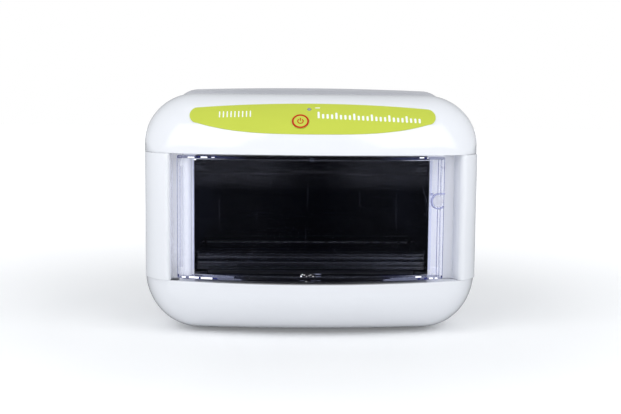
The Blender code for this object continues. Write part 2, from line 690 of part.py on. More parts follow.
def build_lamp(mats):
    twist = pivot("lamp_axis", (0, LAMP_Y, LAMP_Z))
    glass_half = LAMP_HALF - CAP_LENGTH
    rod("uv_lamp_tube", (-glass_half + GAP, LAMP_Y, LAMP_Z), (glass_half - GAP, LAMP_Y, LAMP_Z), LAMP_R,
        mats["lamp"], 32, twist)
    for side, name in ((-1, "left"), (1, "right")):
        start = side * glass_half
        cap = rod(f"lamp_cap_{name}", (start, LAMP_Y, LAMP_Z), (side * LAMP_HALF, LAMP_Y, LAMP_Z), 8.0,
                  mats["cap"], 32, twist)
        for k, away in enumerate((-2.4, 2.4)):
            pin = rod_mesh(f"cap_pin_{name}_{k}", (side * (LAMP_HALF - 1), LAMP_Y, LAMP_Z + away),
                           (side * (LAMP_HALF + 6), LAMP_Y, LAMP_Z + away), 1.1, 12)
            boolean(cap, hide_cutter(add(f"cap_pin_{name}_{k}", pin, None, twist)), "UNION")
        ends = sorted((side * (LAMP_HALF + 0.6), side * (SIDE_X - GAP)))
        socket = block(f"lamp_socket_{name}", (ends[0], LAMP_Y - 10, LAMP_Z - 11),
                       (ends[1], LAMP_Y + 10, CEILING_Z - GAP), mats["socket"])
        round_edges(socket, 1.0)
        well = cutter_rod(f"socket_well_{name}", (side * LAMP_HALF, LAMP_Y, LAMP_Z),
                          (side * (LAMP_HALF + 6.6), LAMP_Y, LAMP_Z), 4.0, 24)
        boolean(socket, well)
    reflector = block("lamp_reflector", (-glass_half, LAMP_Y - 22, CEILING_Z - 3.4),
                      (glass_half, LAMP_Y + 22, CEILING_Z - GAP), mats["steel"])
    channel = cutter_block("reflector_channel", (-glass_half - 5, LAMP_Y - 20.5, CEILING_Z - 10),
                           (glass_half + 5, LAMP_Y + 20.5, CEILING_Z - 1.3))
    boolean(reflector, channel)


def build_electrics(mats):
    block("ballast_case", *BALLAST, mats["cap"], 1.5)
    block("terminal_block", *TERMINALS, mats["socket"], 0.8)


def build_base(mats):
    base = block("base_plate", *BASE, mats["steel"])
    feet = [(-FOOT_X, FOOT_FRONT_Y), (FOOT_X, FOOT_FRONT_Y), (-FOOT_X, FOOT_BACK_Y), (FOOT_X, FOOT_BACK_Y)]
    names = ("front_left", "front_right", "back_left", "back_right")
    for name, (x, y) in zip(names, feet):
        foot = rod(f"foot_{name}", (x, y, 0.0), (x, y, BOTTOM_Z - GAP), FOOT_R - 1.0, mats["rubber"], 32,
                   None, FOOT_R)
        host = LOWER if y < 0 else HOUSING
        hole = cutter_rod(f"foot_hole_{name}", (x, y, BOTTOM_Z - 1), (x, y, 12), SCREW_HOLE_R, 20)
        boolean(bpy.data.objects[host], hole)
        if y > 0:
            boolean(base, hole)
        clear = cutter_rod(f"foot_clear_{name}", (x, y, -1), (x, y, 6), SCREW_HOLE_R, 20)
        boolean(foot, clear)
        sink = cutter_rod(f"foot_sink_{name}", (x, y, -1), (x, y, 1.6), FOOT_SINK_R, 24)
        boolean(foot, sink)
        post = rod(f"foot_screw_{name}", (x, y, 0.5), (x, y, 11.5), SCREW_R, mats["steel"], 20)
        head = rod_mesh(f"foot_head_{name}", (x, y, 0.4), (x, y, 1.4), FOOT_HEAD_R, 24)
        boolean(post, hide_cutter(add(f"foot_head_{name}", head, None)), "UNION")


LOWER = "lower_front_shell"
HOUSING = "rear_housing"

clear_scene()
PARTS = collection(COLLECTION)
CUTTERS = collection("cutters")
MATS = {
    "shell": material("gloss_white_plastic", (0.86, 0.87, 0.88), 0.22),
    "housing": material("grey_white_plastic", (0.62, 0.63, 0.64), 0.35),
    "label": material("yellow_green_label", (0.45, 0.55, 0.10), 0.35),
    "button": material("red_plastic", (0.70, 0.06, 0.03), 0.35),
    "led": material("grey_lens", (0.35, 0.38, 0.36), 0.25),
    "clear": material("clear_door_plastic", (0.93, 0.94, 1.0), 0.05, 0.0, 1.0, 1.49),
    "steel": material("stainless_steel", (0.62, 0.61, 0.60), 0.28, 1.0),
    "black": material("black_plastic", (0.02, 0.02, 0.022), 0.45),
    "board": material("circuit_board", (0.02, 0.16, 0.07), 0.5),
    "lamp": material("quartz_glass", (0.85, 0.88, 0.95), 0.06, 0.0, 0.6, 1.46),
    "cap": material("aluminium_cap", (0.75, 0.75, 0.76), 0.3, 1.0),
    "socket": material("white_plastic", (0.80, 0.80, 0.78), 0.5),
    "rubber": material("foot_rubber", (0.03, 0.03, 0.03), 0.8),
}
HOLES = build_front(MATS)
build_label(MATS, *HOLES)
build_door(MATS)
build_recess(MATS)
build_backplate(MATS)
build_housing(MATS)
build_chamber(MATS)
build_lamp(MATS)
build_electrics(MATS)
build_base(MATS)
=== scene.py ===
"""Look of the countertop ultraviolet sterilizer: moulded shells, clear door, steel chamber, stage."""
import math
import random

import bmesh
import bpy
from mathutils import Matrix, Vector


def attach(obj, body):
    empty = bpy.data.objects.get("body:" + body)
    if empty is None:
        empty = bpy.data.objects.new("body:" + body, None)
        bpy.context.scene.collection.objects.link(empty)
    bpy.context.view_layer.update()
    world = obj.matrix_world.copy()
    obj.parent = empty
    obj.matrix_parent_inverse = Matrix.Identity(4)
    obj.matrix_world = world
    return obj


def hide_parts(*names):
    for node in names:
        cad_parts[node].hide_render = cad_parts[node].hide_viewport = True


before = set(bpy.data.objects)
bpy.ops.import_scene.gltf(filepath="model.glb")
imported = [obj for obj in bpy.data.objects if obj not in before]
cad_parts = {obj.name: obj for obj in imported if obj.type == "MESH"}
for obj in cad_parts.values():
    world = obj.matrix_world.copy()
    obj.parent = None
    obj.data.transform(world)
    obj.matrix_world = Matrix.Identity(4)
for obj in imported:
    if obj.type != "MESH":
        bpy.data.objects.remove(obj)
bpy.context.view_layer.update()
MM = 0.001

# -------------------------------- shape of the front (millimetres)
HALF_WIDTH, TOP_Z, BOTTOM_Z, FRONT_Y = 185.0, 262.0, 3.0, -125.0
SAGITTA, SAGITTA_HALF = 28.0, 157.0
SHELL_BACK_Y, SHELL_WALL, PILLAR_WALL = -5.0, 2.6, 2.4
ROUND_SIDE, ROUND_TOP, ROUND_BOTTOM = 30.0, 62.0, 45.0
DEPTH_SIDE, DEPTH_TOP, DEPTH_BOTTOM = 40.0, 80.0, 50.0
CORNER_TOP, CORNER_BOTTOM, CORNER_FRONT = 54.0, 61.0, 12.0
BOTTOM_FLAT, BOTTOM_LINE_Y = 0.65, -113.0
OPEN_LEFT, OPEN_RIGHT = 154.8, 162.0
LIP_TOP, LIP_BOTTOM, SEAM = 198.0, 60.5, 0.15
FRAME_FRONT_Y, FRAME_BACK_Y = -80.0, -77.0
WINDOW_HALF, WINDOW_BOTTOM, WINDOW_TOP = 128.3, 62.5, 195.8
DOOR_LEFT, DOOR_RIGHT, DOOR_BOTTOM, DOOR_TOP = -145.4, 142.4, 63.0, 195.5
DOOR_SKIN, DOOR_INSET, DOOR_CHORD_Y, FLANGE = 3.0, 4.0, -84.0, 2.4
HINGE_X, HINGE_Y, BARREL_HALF = -140.9, -92.0, 4.8
PULL_X, PULL_Z, PULL_R = 135.1, 148.3, 8.7
BUTTON_X, BUTTON_Z, BUTTON_R, BUTTON_RISE = -14.2, 232.6, 9.0, 1.2
LED_X, LED_Z, LED_R = -4.6, 245.0, 2.2
LABEL_HALF, LABEL_MID, LABEL_LOW_POWER = 132.3, 124.0, 3.2
LABEL_TOP, LABEL_TOP_END, LABEL_LOW, LABEL_LOW_END = 251.0, 246.0, 219.8, 230.3
HOUSING_HALF, HOUSING_TOP, HOUSING_FRONT_Y, HOUSING_BACK_Y = 158.0, 269.0, -1.9, 123.3
HOUSING_R_TOP, HOUSING_R_BOTTOM, HOUSING_ROUND, HOUSING_WALL = 28.0, 40.0, 15.0, 2.5
CROWN, CROWN_START = 3.4, 120.0
SCREW_SHANK, SCREW_HEAD_R, SCREW_RISE = 1.5, 3.0, 1.5
TRAY_HALF, TRAY_FRONT_Y, TRAY_BACK_Y, TRAY_LOW, TRAY_RISE = 127.7, -73.5, 64.0, 67.3, 22.2
TRAY_CORNER, TRAY_BEADS, BEAD_DEPTH = 4.0, 9, 0.30
LAMP_Y, LAMP_Z, CATHODE_X = -40.0, 180.0, 118.0


# -------------------------------- node helpers
class Nodes:
    """A node tree with short ways to add nodes. A value that is a socket is linked, any other is set."""

    def __init__(self, tree):
        self.tree = tree

    def feed(self, socket, value):
        if isinstance(value, bpy.types.NodeSocket):
            self.tree.links.new(value, socket)
        else:
            socket.default_value = value

    def node(self, kind, *sources, **values):
        """Add a node: sources go to its inputs in order, values to the inputs or settings they name."""
        made = self.tree.nodes.new("ShaderNode" + kind)
        for socket, value in zip(made.inputs, sources):
            self.feed(socket, value)
        for key, value in values.items():
            if key.replace("_", " ") in made.inputs:
                self.feed(made.inputs[key.replace("_", " ")], value)
            else:
                setattr(made, key, value)
        return made

    def math(self, operation, *sources):
        return self.node("Math", *sources, operation=operation).outputs[0]

    def mix(self, share, first, second):
        return self.node("MixShader", share, first, second).outputs[0]

    def span(self, fac, low, high, from_low=0.3, from_high=0.7, **settings):
        return self.node("MapRange", Value=fac, From_Min=from_low, From_Max=from_high,
                         To_Min=low, To_Max=high, **settings).outputs["Result"]


class Material(Nodes):
    """A procedural material round the Principled shader, in the object's own coordinates."""

    def __init__(self, name):
        self.mat = bpy.data.materials.new(name)
        self.mat.use_nodes = True
        super().__init__(self.mat.node_tree)
        self.shader = self.tree.nodes["Principled BSDF"]
        self.coord = self.node("TexCoord").outputs["Object"]

    def noise(self, scale, detail, stretch=None, rough=0.5):
        place = self.node("Mapping", self.coord, Scale=stretch).outputs["Vector"] if stretch else self.coord
        return self.node("TexNoise", Vector=place, Scale=scale, Detail=detail, Roughness=rough).outputs["Fac"]

    def ramp(self, fac, stops):
        made = self.node("ValToRGB", fac)
        elements = made.color_ramp.elements
        while len(elements) < len(stops):
            elements.new(0.5)
        for element, (place, colour) in zip(elements, stops):
            element.position = place
            element.color = (*colour, 1.0)
        return made.outputs["Color"]

    def set(self, **values):
        for key, value in values.items():
            self.feed(self.shader.inputs[key.replace("_", " ")], value)

    def bump(self, height, strength, distance=0.0002):
        made = self.node("Bump", Strength=strength, Distance=distance, Height=height)
        self.set(Normal=made.outputs["Normal"])

    def surface(self, shader):
        self.feed(self.tree.nodes["Material Output"].inputs["Surface"], shader)
        return self.mat


FADE_HALF = 0.15
RISE_START = 0.16
MIDDLE_REACH = (0.07, 0.125)


def plastic(name, colour, rough, vary, coat=0.0, grain=0.0, grain_scale=900.0, spec=0.5, glow=0.0, fade=None):
    """Opaque plastic, rubber or print. glow gives off the colour as light, which is painted light; fade holds
    (x in metres, share of the glow), which paints shade where the share drops.
    """
    m = Material(name)
    low = tuple(c * (1 - vary) for c in colour)
    m.set(Base_Color=m.ramp(m.noise(14.0, 4.0), [(0.3, low), (0.7, colour)]),
          Roughness=m.span(m.noise(38.0, 5.0), rough * 0.8, rough * 1.25),
          Coat_Weight=coat, Coat_Roughness=0.06, Specular_IOR_Level=spec)
    if glow:
        m.set(Emission_Color=(*colour, 1.0), Emission_Strength=glow)
    if fade:
        across = m.span(m.node("SeparateXYZ", m.coord).outputs["X"], 0.0, 1.0, -FADE_HALF, FADE_HALF)
        stops = [(0.5 + x / (2 * FADE_HALF), (glow * share,) * 3) for x, share in fade]
        m.set(Emission_Strength=m.ramp(across, stops))
    if grain:
        m.bump(m.noise(grain_scale, 2.0), grain)
    return m.mat


def steel(name, dark, light, rough, grain, along=(6.0, 900.0, 900.0), soft=0.18):
    """Brushed metal: streaks between two tones, stretched along one way."""
    m = Material(name)
    streak = m.noise(1.0, 5.0, along, 0.62)
    m.set(Base_Color=m.ramp(streak, [(0.5 - soft, dark), (0.5 + soft, light)]),
          Roughness=m.span(streak, rough * 0.75, rough * 1.35), Metallic=1.0)
    m.bump(streak, grain, 0.00008)
    return m.mat


def clear(name, tint, rough=0.02, ior=1.49, marks=True):
    """Clear moulding: refracts for the eye, and lets lamp light and bounced light straight through."""
    m = Material(name)
    m.set(Base_Color=(*tint, 1.0), Roughness=rough, IOR=ior, Transmission_Weight=1.0)
    if marks:
        m.bump(m.noise(26.0, 1.0, (1.0, 1.0, 0.12)), 0.05, 0.0004)
    through = m.node("BsdfTransparent", Color=(*[c * 0.98 for c in tint], 1.0)).outputs[0]
    path = m.node("LightPath")
    shader = m.shader.outputs[0]
    for ray in ("Is Diffuse Ray", "Is Shadow Ray"):
        shader = m.mix(path.outputs[ray], shader, through)
    return m.surface(shader)


def translucent(name, colour, cover, rough=0.08, ends=None, glow=0.0, middle=None, reach=(0.092, 0.128),
                rise=None, streak=None):
    """Thick plastic seen along its edge: a glossy colour with what lies behind showing through.

    The cover goes over to ends across reach, away from the middle, and grows with height across rise.
    middle is the colour at the middle, and streak stretches the grain."""
    m = Material(name)
    low = 0.97 if glow else 0.3 if streak else 0.8
    grain = m.noise(1.0, 4.0, streak) if streak else m.noise(160.0, 3.0)
    m.set(Base_Color=m.ramp(grain, [(0.3, [c * low for c in colour]), (0.7, colour)]),
          Roughness=rough, IOR=1.49, Emission_Color=(*colour, 1.0), Emission_Strength=glow)
    if ends:
        parts = m.node("SeparateXYZ", m.coord)
        far = m.math("ABSOLUTE", parts.outputs["X"])
        cover = m.span(far, cover, ends, *reach)
        if rise:
            cover = m.math("MULTIPLY", cover, m.span(parts.outputs["Z"], RISE_START, 1.0, *rise))
        if middle:
            m.set(Base_Color=m.ramp(m.span(far, 0.0, 1.0, *MIDDLE_REACH), [(0.0, middle), (1.0, colour)]))
    through = m.node("BsdfTransparent", Color=(0.93, 0.94, 1.0, 1.0)).outputs[0]
    return m.surface(m.mix(cover, through, m.shader.outputs[0]))


WHITE = plastic("gloss_white", (0.79, 0.805, 0.84), 0.09, 0.012, 0.25)
# Inner white parts: their glow is painted light, standing in for light reaching the deep recess.
WHITE_INNER = plastic("satin_white", (0.86, 0.87, 0.93), 0.4, 0.015, glow=0.27)
GREY = plastic("housing_grey", (0.45, 0.455, 0.48), 0.42, 0.04, 0.0, 0.28, 1400.0)
LIME = plastic("lime_label", (0.52, 0.59, 0.078), 0.62, 0.03, 0.0, 0.05, 2200.0, 0.04)
PRINT = plastic("white_print", (0.85, 0.88, 0.84), 0.5, 0.02)
RED = plastic("red_print", (0.50, 0.010, 0.006), 0.5, 0.04, spec=0.15)
LED = plastic("led_lens", (0.25, 0.27, 0.30), 0.18, 0.05, 0.5)
BLACK = plastic("black_moulding", (0.022, 0.022, 0.024), 0.5, 0.2, 0.0, 0.3, 1500.0)
IVORY = plastic("socket_white", (0.70, 0.69, 0.65), 0.45, 0.04, 0.0, 0.1)
RUBBER = plastic("foot_rubber", (0.030, 0.030, 0.031), 0.78, 0.25, 0.0, 0.5, 1100.0)
BOARD = plastic("board_green", (0.02, 0.14, 0.06), 0.4, 0.25)
# Recess frame: its glow is painted light filling the deep recess; the fade takes it down to 0.78 at the far
# left and to none on the right end strip, painted shade beside the pillars.
FRAME_WHITE = plastic("recess_white", (0.81, 0.82, 0.86), 0.4, 0.015, glow=0.31,
                      fade=((-0.1445, 0.78), (-0.1425, 1.0), (0.1425, 1.0), (0.1445, 0.0)))
# Hinge pins: their glow is painted light.
PIN_SATIN = plastic("pin_satin", (0.76, 0.77, 0.81), 0.4, 0.015, glow=0.18)
# Chamber, tray and skirt steel: the brushed streaks are the steel's own, but the near-black and dark tones
# are painted shade, standing in for the dark room the real steel reflects.
STEEL_WALL = steel("chamber_steel", (0.006, 0.008, 0.017), (0.024, 0.026, 0.038), 0.22, 0.2)
STEEL_TRAY = steel("tray_steel", (0.004, 0.006, 0.010), (0.13, 0.13, 0.13), 0.20, 0.12,
                   (2.0, 420.0, 420.0), 0.09)
STEEL_SKIRT = steel("skirt_steel", (0.06, 0.065, 0.08), (0.20, 0.20, 0.20), 0.3, 0.1, (3.0, 400.0, 400.0))
STEEL_BRIGHT = steel("fastener_steel", (0.42, 0.42, 0.42), (0.62, 0.61, 0.60), 0.3, 0.1,
                     (300.0, 300.0, 300.0))
ALUMINIUM = steel("cap_aluminium", (0.55, 0.55, 0.56), (0.72, 0.72, 0.73), 0.32, 0.1, (900.0, 60.0, 60.0))
CLEAR_DOOR = clear("door_clear", (0.957, 0.962, 0.982))
SIDE_EDGE = translucent("door_side_wall", (0.84, 0.86, 0.96), 0.30, 0.1)
# Door flanges: the blue tint is the plastic's own; the near-black middle, going clear towards the ends, is
# painted shade, the dark chamber seen through the flange.
FLANGE_BLUE = translucent("door_flange_edge", (0.05, 0.06, 0.17), 0.84, 0.10, 0.28,
                          middle=(0.003, 0.003, 0.006))
RIB_BLUE = translucent("door_rib_edge", (0.15, 0.16, 0.40), 0.72)
# Dark-blue edge marks: partly the plastic's own tint, partly painted shade.
NAVY = translucent("door_dark_edge", (0.03, 0.035, 0.16), 0.88)
HAZE = translucent("door_soft_edge", (0.30, 0.32, 0.46), 0.45, 0.2)
# Pale lines along the flanges' inner edges, clear in the middle and stronger towards the ends: painted
# highlights.
LINE = translucent("door_painted_highlight_line", (0.62, 0.64, 0.74), 0.05, 0.2, 0.75)
FROST = translucent("door_frost", (0.20, 0.205, 0.25), 0.010, 0.5, 0.050, reach=(0.010, 0.060),
                    rise=(0.160, 0.172), streak=(3.0, 420.0, 420.0))
# Glowing white strips: painted glints, standing in for lamp reflections on the door's edges.
GLINT = translucent("door_painted_glint", (0.95, 0.96, 1.0), 0.97, 0.15, glow=0.75)
PULL_EDGE = translucent("pull_edge", (0.42, 0.44, 0.70), 0.55)
DISH = translucent("pull_dish", (0.84, 0.83, 0.84), 0.38, 0.3)
SCRATCH = translucent("door_scratch", (0.42, 0.43, 0.48), 0.085, 0.4)
# Hinge barrel: its pale tone is its own; its glow is painted light.
BARREL = translucent("hinge_barrel_edge", (0.88, 0.89, 0.93), 0.84, 0.45, glow=0.16)
# Brownish streaks on the lamp glass: painted reflections.
LAMP_STREAK = translucent("lamp_streak", (0.30, 0.27, 0.26), 0.50, 0.3)
QUARTZ = clear("lamp_quartz", (0.93, 0.94, 0.96), 0.03, 1.46, False)


# -------------------------------- mesh helpers
def loose(name, bm, recalc=True):
    """Object made of the mesh, on no body yet."""
    if recalc:
        bmesh.ops.recalc_face_normals(bm, faces=bm.faces)
    mesh = bpy.data.meshes.new(name)
    bm.to_mesh(mesh)
    bm.free()
    obj = bpy.data.objects.new(name, mesh)
    bpy.context.scene.collection.objects.link(obj)
    return obj


def smooth(mesh, angle=38.0):
    mesh.shade_smooth()
    mesh.set_sharp_from_angle(angle=math.radians(angle))


def settle(obj, body, replaced):
    """Say which body the piece rides, which CAD nodes it stands for."""
    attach(obj, body)
    if replaced:
        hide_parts(*replaced)
    return obj


def finish_piece(name, bm, mat, body=None, replaced=(), angle=38.0, recalc=True):
    obj = loose(name, bm, recalc)
    for m in mat if isinstance(mat, tuple) else (mat,):
        obj.data.materials.append(m)
    smooth(obj.data, angle)
    return settle(obj, body, replaced) if body else obj


def even_normals(obj):
    """Let the big faces set the shading, so a small bevel doesn't tilt a whole panel."""
    mod = obj.modifiers.new("Even", "WEIGHTED_NORMAL")
    mod.keep_sharp = True
    mod.weight = 100


def apply_all(obj):
    """Freeze the modifiers into the mesh, so that the cutters can go."""
    graph = bpy.context.evaluated_depsgraph_get()
    mesh = bpy.data.meshes.new_from_object(obj.evaluated_get(graph))
    obj.modifiers.clear()
    obj.data = mesh
    smooth(mesh)
    return obj


def carve(obj, *shapes):
    """Cut the shapes, each a bmesh, out of the piece."""
    tools = [loose("cut", bm) for bm in shapes]
    for tool in tools:
        mod = obj.modifiers.new("Cut", "BOOLEAN")
        mod.operation = "DIFFERENCE"
        mod.solver = "EXACT"
        mod.object = tool
    bpy.context.view_layer.update()
    apply_all(obj)
    for tool in tools:
        bpy.data.objects.remove(tool, do_unlink=True)


def seal(obj, width):
    """Round the hard edges and freeze the result."""
    mod = obj.modifiers.new("Edges", "BEVEL")
    mod.width = width * MM
    mod.segments = 3
    mod.limit_method = "ANGLE"
    mod.angle_limit = math.radians(50.0)
    even_normals(obj)
    bpy.context.view_layer.update()
    return apply_all(obj)


def points(bm, row):
    """Vertices at places given in millimetres."""
    return [bm.verts.new(p * MM if isinstance(p, Vector) else [c * MM for c in p]) for p in row]


def skin(bm, rows, caps=True):
    """Faces from each closed row of vertices to the next, which are returned, and over both ends."""
    bands = []
    for a, b in zip(rows, rows[1:]):
        for i in range(len(a)):
            j = (i + 1) % len(a)
            bands.append(bm.faces.new((a[i], a[j], b[j], b[i])))
    if caps:
        bm.faces.new(rows[0])
        bm.faces.new(rows[-1][::-1])
    return bands


def box_bm(lo, hi, bm=None):
    bm = bm or bmesh.new()
    size = [(b - a) * MM for a, b in zip(lo, hi)]
    middle = [(b + a) * 0.5 * MM for a, b in zip(lo, hi)]
    bmesh.ops.create_cube(bm, size=1.0, matrix=Matrix.Translation(middle) @ Matrix.Diagonal((*size, 1.0)))
    return bm


def turned_bm(start, way, profile, sides, bm=None):
    """Solid of revolution: profile is (distance along, radius), first and last radius 0."""
    bm = bm or bmesh.new()
    axis = Vector(way).normalized()
    side = axis.orthogonal().normalized()
    other = axis.cross(side)
    rows = []
    for far, radius in profile:
        middle = Vector(start) + axis * far
        if radius < 1e-6:
            rows.append(points(bm, [middle]))
        else:
            turns = [2 * math.pi * i / sides for i in range(sides)]
            rows.append(points(bm, [middle + side * radius * math.cos(a) + other * radius * math.sin(a)
                                    for a in turns]))
    for near, far in zip(rows, rows[1:]):
        if len(near) > 1 and len(far) > 1:
            skin(bm, [near, far], False)
            continue
        for i in range(sides):
            j = (i + 1) % sides
            bm.faces.new((near[0], far[i], far[j]) if len(near) == 1 else (near[i], near[j], far[0]))
    return bm


def rod_bm(start, way, radius, length, sides, bm=None):
    return turned_bm(start, way, [(0, 0), (0, radius), (length, radius), (length, 0)], sides, bm)


# -------------------------------- the bowed front
SPAN, CORNER, RINGS, PILLAR_STEPS = 56, 22, 26, 40


def front_y(x):
    return FRONT_Y + SAGITTA * (x / SAGITTA_HALF) ** 2


def outline(half, low, high, r_low, r_high, span_steps=SPAN, corner_steps=CORNER):
    """Rounded rectangle, clockwise from the left end of its top: (x, z, how far it faces up)."""
    ring = []

    def edge(side, span, z, first):
        ring.extend((side * span * (2 * i / span_steps - 1), z, side) for i in range(first, span_steps + 1))

    def corner(side, radius, middle, shares):
        for a in (math.pi / 2 * share for share in shares):
            ring.append((side * (half - radius + radius * math.cos(a)), middle + radius * math.sin(a),
                         math.sin(a)))

    n = corner_steps
    edge(1.0, half - r_high, high, 0)
    corner(1, r_high, high - r_high, [1 - i / n for i in range(1, n + 1)])
    corner(1, r_low, low + r_low, [-i / n for i in range(n + 1)])
    edge(-1.0, half - r_low, low, 1)
    corner(-1, r_low, low + r_low, [i / n - 1 for i in range(1, n + 1)])
    corner(-1, r_high, high - r_high, [i / n for i in range(n)])
    return ring


def pillow_bm():
    """The whole front as one solid: flat back, side curve, rolled top and bottom, bowed face."""
    base = outline(HALF_WIDTH, BOTTOM_Z, TOP_Z, CORNER_BOTTOM, CORNER_TOP)
    rows = [[(x, SHELL_BACK_Y, z) for x, z, _up in base]]
    for k in range(RINGS + 1):
        a = math.pi / 2 * k / RINGS
        draw, behind = 1 - math.cos(a), 1 - math.sin(a)
        ring = outline(HALF_WIDTH - ROUND_SIDE * draw, BOTTOM_Z + ROUND_BOTTOM * draw,
                       TOP_Z - ROUND_TOP * draw, CORNER_BOTTOM + (CORNER_FRONT - CORNER_BOTTOM) * draw,
                       CORNER_TOP + (CORNER_FRONT - CORNER_TOP) * draw)
        row = []
        for x, z, up in ring:
            far = DEPTH_TOP if up > 0 else DEPTH_BOTTOM
            depth = DEPTH_SIDE + (far - DEPTH_SIDE) * up * up
            flat = BOTTOM_FLAT * behind * up * up if up < 0 else 0.0
            bow = front_y(x) + flat * (BOTTOM_LINE_Y - front_y(x))
            row.append((x, bow + depth * behind, z))
        rows.append(row)
    bm = bmesh.new()
    rows = [points(bm, map(Vector, row)) for row in rows]
    skin(bm, rows, False)
    bm.faces.new(rows[0])
    row = rows[-1]
    start = SPAN + 1 + CORNER
    top = row[-CORNER:] + row[:start]
    low = row[start:start + SPAN + 1 + 2 * CORNER]
    low.reverse()
    for i in range(len(top) - 1):
        bm.faces.new((top[i], low[i], low[i + 1], top[i + 1]))
    bmesh.ops.recalc_face_normals(bm, faces=bm.faces)
    return bm


def slice_off(bm, place, normal):
    """Cut away what lies on the far side of a plane and close the cut; returns the new face's edges."""
    geom = bm.verts[:] + bm.edges[:] + bm.faces[:]
    cut = bmesh.ops.bisect_plane(bm, geom=geom, plane_co=Vector(place) * MM, plane_no=normal,
                                 clear_outer=True, dist=1e-7)
    edges = [g for g in cut["geom_cut"] if isinstance(g, bmesh.types.BMEdge)]
    made = bmesh.ops.edgeloop_fill(bm, edges=edges)
    return [e for f in made["faces"] for e in f.edges]


def soften_lip(bm, rim, width):
    """Round the part of a cut rim that shows above or below the opening."""
    shown = [e for e in rim if e.is_valid and
             all(-OPEN_LEFT * MM < v.co.x < OPEN_RIGHT * MM and v.co.y < -0.02 for v in e.verts)]
    bmesh.ops.bevel(bm, geom=shown, offset=width * MM, segments=4, profile=0.5, affect="EDGES",
                    clamp_overlap=True)


def open_back(bm):
    back = [f for f in bm.faces if all(abs(v.co.y - SHELL_BACK_Y * MM) < 1e-6 for v in f.verts)]
    bmesh.ops.delete(bm, geom=back, context="FACES_ONLY")


def build_shells():
    for name, level, way, lip in (("upper", LIP_TOP, -1, 1.1), ("lower", LIP_BOTTOM, 1, 1.3)):
        bm = pillow_bm()
        soften_lip(bm, slice_off(bm, (0, 0, level), (0, 0, way)), lip)
        open_back(bm)
        shell = finish_piece(f"shell_{name}", bm, WHITE, "cabinet", (f"{name}_front_shell",),
                             recalc=False)
        mod = shell.modifiers.new("Wall", "SOLIDIFY")
        mod.thickness = SHELL_WALL * MM
        mod.offset = -1.0
        mod.use_even_offset = True
        even_normals(shell)
    build_pillar("left", -1, OPEN_LEFT, 1.8, 0.0)
    build_pillar("right", 1, OPEN_RIGHT, 3.0, 4.2)


def build_pillar(name, side, edge, radius, draft):
    """Upright beside the opening: the shell's own side curve, a rounded inner edge and the recess wall."""
    path = [(HALF_WIDTH, SHELL_BACK_Y)]
    for k in range(PILLAR_STEPS + 1):
        a = math.pi / 2 * k / PILLAR_STEPS
        x = HALF_WIDTH - ROUND_SIDE * (1 - math.cos(a))
        if x > edge + radius:
            setback = 0.5 * min(1.0, (HALF_WIDTH - x) / 22.0) ** 2
            path.append((x, front_y(x) + DEPTH_SIDE * (1 - math.sin(a)) + setback))
    turn_y = path[-1][1] - 0.1
    for k in range(9):
        a = math.pi / 2 * k / 8
        path.append((edge + radius * (1 - math.sin(a)), turn_y + radius * (1 - math.cos(a))))
    path += [(edge - draft, FRAME_FRONT_Y + 0.2), (edge - draft, FRAME_BACK_Y + 2.0)]
    inner = []
    for i, (x, y) in enumerate(path):
        before, after = path[max(0, i - 1)], path[min(len(path) - 1, i + 1)]
        dx, dy = after[0] - before[0], after[1] - before[1]
        shift = PILLAR_WALL / math.hypot(dx, dy)
        inner.append((min(HALF_WIDTH - PILLAR_WALL, x - dy * shift), y + dx * shift))
    loop = path + inner[::-1]
    half = len(path)
    low, high = LIP_BOTTOM + SEAM, LIP_TOP - SEAM
    bm = bmesh.new()
    rows = []
    for z, pull_in in ((low, 0.25), (low + 0.25, 0.0), (high - 0.25, 0.0), (high, 0.25)):
        row = []
        for (x, y), mate in zip(loop, loop[::-1]):
            share = pull_in / math.hypot(mate[0] - x, mate[1] - y)
            row.append((side * (x + (mate[0] - x) * share), y + (mate[1] - y) * share, z))
        rows.append(points(bm, row))
    skin(bm, rows, False)
    for row in (rows[0], rows[-1]):
        for i in range(half - 1):
            bm.faces.new((row[i], row[i + 1], row[-2 - i], row[-1 - i]))
    even_normals(finish_piece(f"pillar_{name}", bm, WHITE, "cabinet", (f"{name}_pillar",)))


# -------------------------------- label, button and indicator
def top_surface(x, z, lift=0.0):
    a = math.acos(1 - (TOP_Z - z) / ROUND_TOP)
    place = Vector((x, front_y(x) + DEPTH_TOP * (1 - math.sin(a)), z))
    slope_x = 2 * SAGITTA * x / SAGITTA_HALF ** 2
    slope_z = DEPTH_TOP * math.cos(a) / (ROUND_TOP * math.sin(a))
    normal = Vector((slope_x, -1.0, slope_z)).normalized()
    return place + normal * lift, normal


def label_limits(x):
    part = min(1.0, abs(x) / LABEL_MID)
    high = LABEL_TOP + (LABEL_TOP_END - LABEL_TOP) * part ** 2
    low = LABEL_LOW + (LABEL_LOW_END - LABEL_LOW) * part ** LABEL_LOW_POWER
    if abs(x) > LABEL_MID:
        away = min(1.0, (abs(x) - LABEL_MID) / (LABEL_HALF - LABEL_MID))
        middle = (LABEL_TOP_END + LABEL_LOW_END) / 2
        rise = (LABEL_TOP_END - LABEL_LOW_END) / 2 * math.sqrt(max(0.0, 1 - away * away))
        high, low = middle + rise, middle - rise
    return low, high


def sheet_on_top(bm, columns, rows, low_lift, high_lift):
    """Closed thin sheet on the rolled top. columns: list of (x, z low, z high)."""
    up, down = ([points(bm, [top_surface(x, z0 + (z1 - z0) * j / rows, lift)[0] for j in range(rows + 1)])
                 for x, z0, z1 in columns] for lift in (high_lift, low_lift))
    for grid, step in ((up, 1), (down, -1)):
        for a, b in zip(grid, grid[1:]):
            for j in range(rows):
                bm.faces.new((a[j], b[j], b[j + 1], a[j + 1])[::step])
    for i in range(len(columns) - 1):
        bm.faces.new((up[i][0], down[i][0], down[i + 1][0], up[i + 1][0]))
        bm.faces.new((up[i][rows], up[i + 1][rows], down[i + 1][rows], down[i][rows]))
    for i, step in ((0, 1), (-1, -1)):
        for j in range(rows):
            bm.faces.new((up[i][j], up[i][j + 1], down[i][j + 1], down[i][j])[::step])


